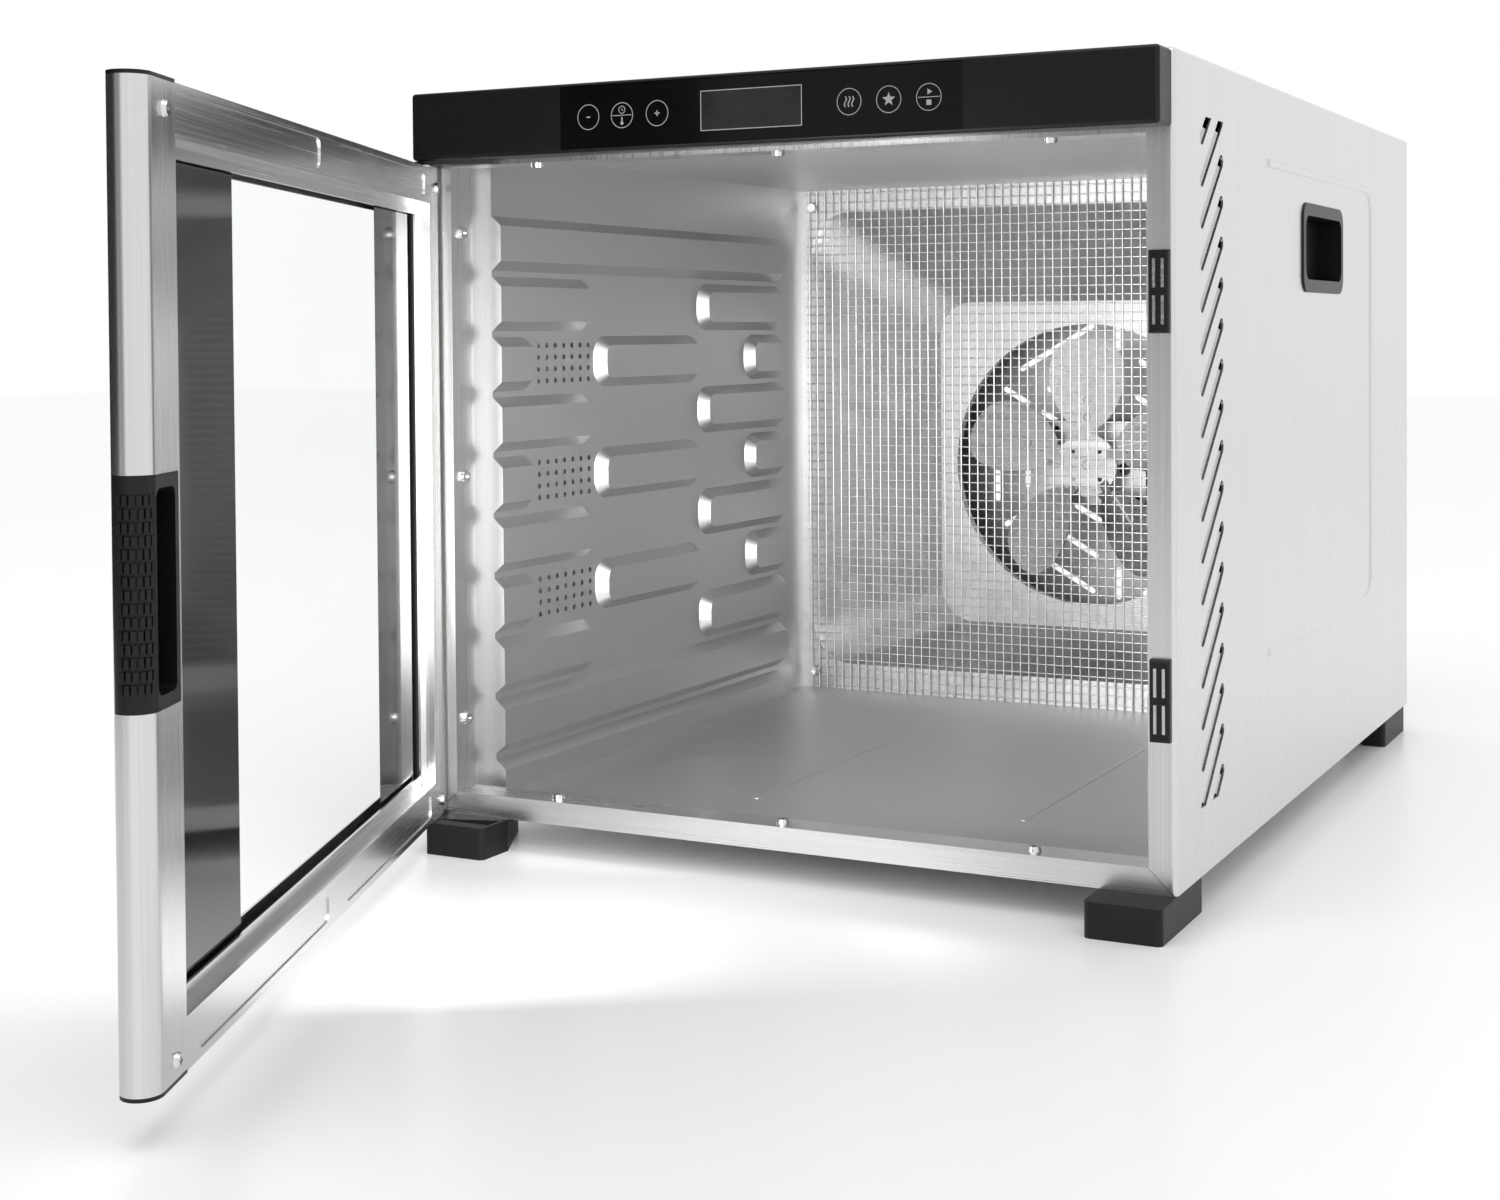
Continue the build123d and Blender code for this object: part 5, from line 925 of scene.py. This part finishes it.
@dataclass(frozen=True)
class SoftLight:
    """A rectangular light aimed at a point; places in metres, power in watts."""

    name: str
    place: Triple
    target: Triple
    size: tuple[float, float]
    power: float

    def build(self) -> None:
        """Make the light."""
        lamp = bpy.data.lights.new(self.name, "AREA")
        lamp.shape = "RECTANGLE"
        lamp.size, lamp.size_y = self.size
        lamp.energy = self.power
        holder = bpy.data.objects.new(self.name, lamp)
        bpy.context.scene.collection.objects.link(holder)
        holder.location = self.place
        aim = Vector(self.target) - Vector(self.place)
        holder.rotation_euler = aim.to_track_quat("-Z", "Y").to_euler()


@dataclass(frozen=True)
class Card:
    """An upright card that the steel mirrors in place of the white surroundings.

    Its foot runs from start to end, seen from above, and its glow is its brightness where the
    surroundings are 1.
    """

    name: str
    start: tuple[float, float]
    end: tuple[float, float]
    glow: float
    height: float = 1.5
    foot_gap: float = 0.002

    def material(self) -> bpy.types.Material:
        """Make the card's material, which gives off an even light and reflects none."""
        material = bpy.data.materials.new(self.name)
        material.use_nodes = True
        shader = material.node_tree.nodes["Principled BSDF"]
        shader.inputs["Base Color"].default_value = (0, 0, 0, 1)
        shader.inputs["Specular IOR Level"].default_value = 0.0
        shader.inputs["Emission Color"].default_value = (1, 1, 1, 1)
        shader.inputs["Emission Strength"].default_value = self.glow
        return material

    def build(self) -> None:
        """Make the card, seen only in reflections."""
        bm = bmesh.new()
        foot = [Vector((*point, self.foot_gap)) for point in (self.start, self.end)]
        top = [point + Vector((0, 0, self.height)) for point in foot]
        bm.faces.new([bm.verts.new(point) for point in (foot[0], foot[1], top[1], top[0])])
        mesh = bpy.data.meshes.new(self.name)
        bm.to_mesh(mesh)
        bm.free()
        card = bpy.data.objects.new(self.name, mesh)
        bpy.context.scene.collection.objects.link(card)
        card.visible_camera = False
        card.visible_diffuse = False
        card.visible_shadow = False
        card.visible_transmission = False
        mesh.materials.append(self.material())


SOFT_LIGHTS = (
    SoftLight("overhead", (0.2, -0.9, 2.0), (0, -0.1, 0), (1.6, 1.2), 9),
    SoftLight("chamber", (0.02, -0.2, 0.18), (-0.08, 0.1, 0.15), (0.22, 0.2), 0.9),
    SoftLight("strip", (-0.02, -0.42, 0.17), (-0.16, -0.2, 0.17), (0.08, 0.24), 0.5),
)

CARDS = (
    Card("dark_card", (-0.95, 0.15), (-0.95, -1.9), 0.03),
    Card("grey_card", (-0.95, -1.9), (-0.05, -2.2), 0.3),
)


@dataclass
class Studio:
    """Pale floor, white surroundings, lights, cards and the camera."""

    camera_place: Triple = (0.40265, -1.0003, 0.23025)
    yaw: float = 26.268
    pitch: float = -1.269
    roll: float = 0.366
    focal_length: float = 50.38
    shift_x: float = -0.0457
    shift_y: float = -0.1482
    surround: float = 1.0
    floor_reach: float = 6.0
    floor_white: float = 0.93
    floor_roughness: float = 0.28

    def build_floor(self) -> None:
        """Make the floor."""
        bm = bmesh.new()
        bmesh.ops.create_grid(bm, x_segments=1, y_segments=1, size=self.floor_reach)
        mesh = bpy.data.meshes.new("studio_floor")
        bm.to_mesh(mesh)
        bm.free()
        floor = bpy.data.objects.new("studio_floor", mesh)
        bpy.context.scene.collection.objects.link(floor)
        material = bpy.data.materials.new("studio_floor")
        material.use_nodes = True
        shader = material.node_tree.nodes["Principled BSDF"]
        shader.inputs["Base Color"].default_value = (*[self.floor_white] * 3, 1)
        shader.inputs["Roughness"].default_value = self.floor_roughness
        mesh.materials.append(material)

    def build_world(self) -> None:
        """Make the surrounding light, white all round."""
        world = bpy.data.worlds.new("studio")
        bpy.context.scene.world = world
        world.use_nodes = True
        back = world.node_tree.nodes["Background"]
        back.inputs["Color"].default_value = (1, 1, 1, 1)
        back.inputs["Strength"].default_value = self.surround

    def build_camera(self) -> None:
        """Place the camera."""
        camera = bpy.data.cameras.new("camera")
        camera.sensor_width = 36.0
        camera.lens = self.focal_length
        camera.shift_x, camera.shift_y = self.shift_x, self.shift_y
        camera.clip_start = 0.05
        holder = bpy.data.objects.new("camera", camera)
        bpy.context.scene.collection.objects.link(holder)
        turn = (
            Matrix.Rotation(math.radians(self.yaw), 4, "Z")
            @ Matrix.Rotation(math.radians(self.pitch), 4, "X")
            @ Matrix.Rotation(math.radians(self.roll), 4, "Y")
            @ Matrix.Rotation(math.pi / 2, 4, "X")
        )
        holder.matrix_world = Matrix.Translation(self.camera_place) @ turn
        bpy.context.scene.camera = holder

    def build(self) -> None:
        """Set up the whole studio."""
        self.build_floor()
        self.build_world()
        for item in SOFT_LIGHTS + CARDS:
            item.build()
        self.build_camera()
        bpy.context.scene.view_settings.view_transform = "Standard"


FINISH_BY_NODE = {
    "bottom_pan": "pan_steel",
    "door_hinge_stile": "door_upright",
    "door_handle_stile": "door_upright",
    "door_top_rail": "door_level",
    "door_bottom_rail": "door_level",
}


def dress_nodes(frame: dict, rack: FinishRack) -> None:
    """Put its finish on every CAD node.

    Args:
        rack: the finishes.
    """
    for entry in frame["record"]["subparts"]:
        node = entry["node"]
        rack.coat_node(frame["nodes"][node], FINISH_BY_NODE.get(node, entry["material_slot"]))
        log.info("%s: dressed", node)


def main() -> None:
    """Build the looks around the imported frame."""
    logging.basicConfig(level=logging.INFO, format="%(name)s %(message)s")
    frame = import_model()
    rack = FinishRack()
    dress_nodes(frame, rack)
    hinge = next(joint for joint in frame["joints"] if joint["name"] == "door_hinge")
    ControlPanel(rack).build()
    Door(rack, axis=Vector(hinge["pos_m"]), open_angle=-math.radians(hinge["range_deg"][0])).build()
    ChamberFloor(rack).build()
    SideVents(rack).build()
    Studio().build()


if __name__ == "__main__":
    main()
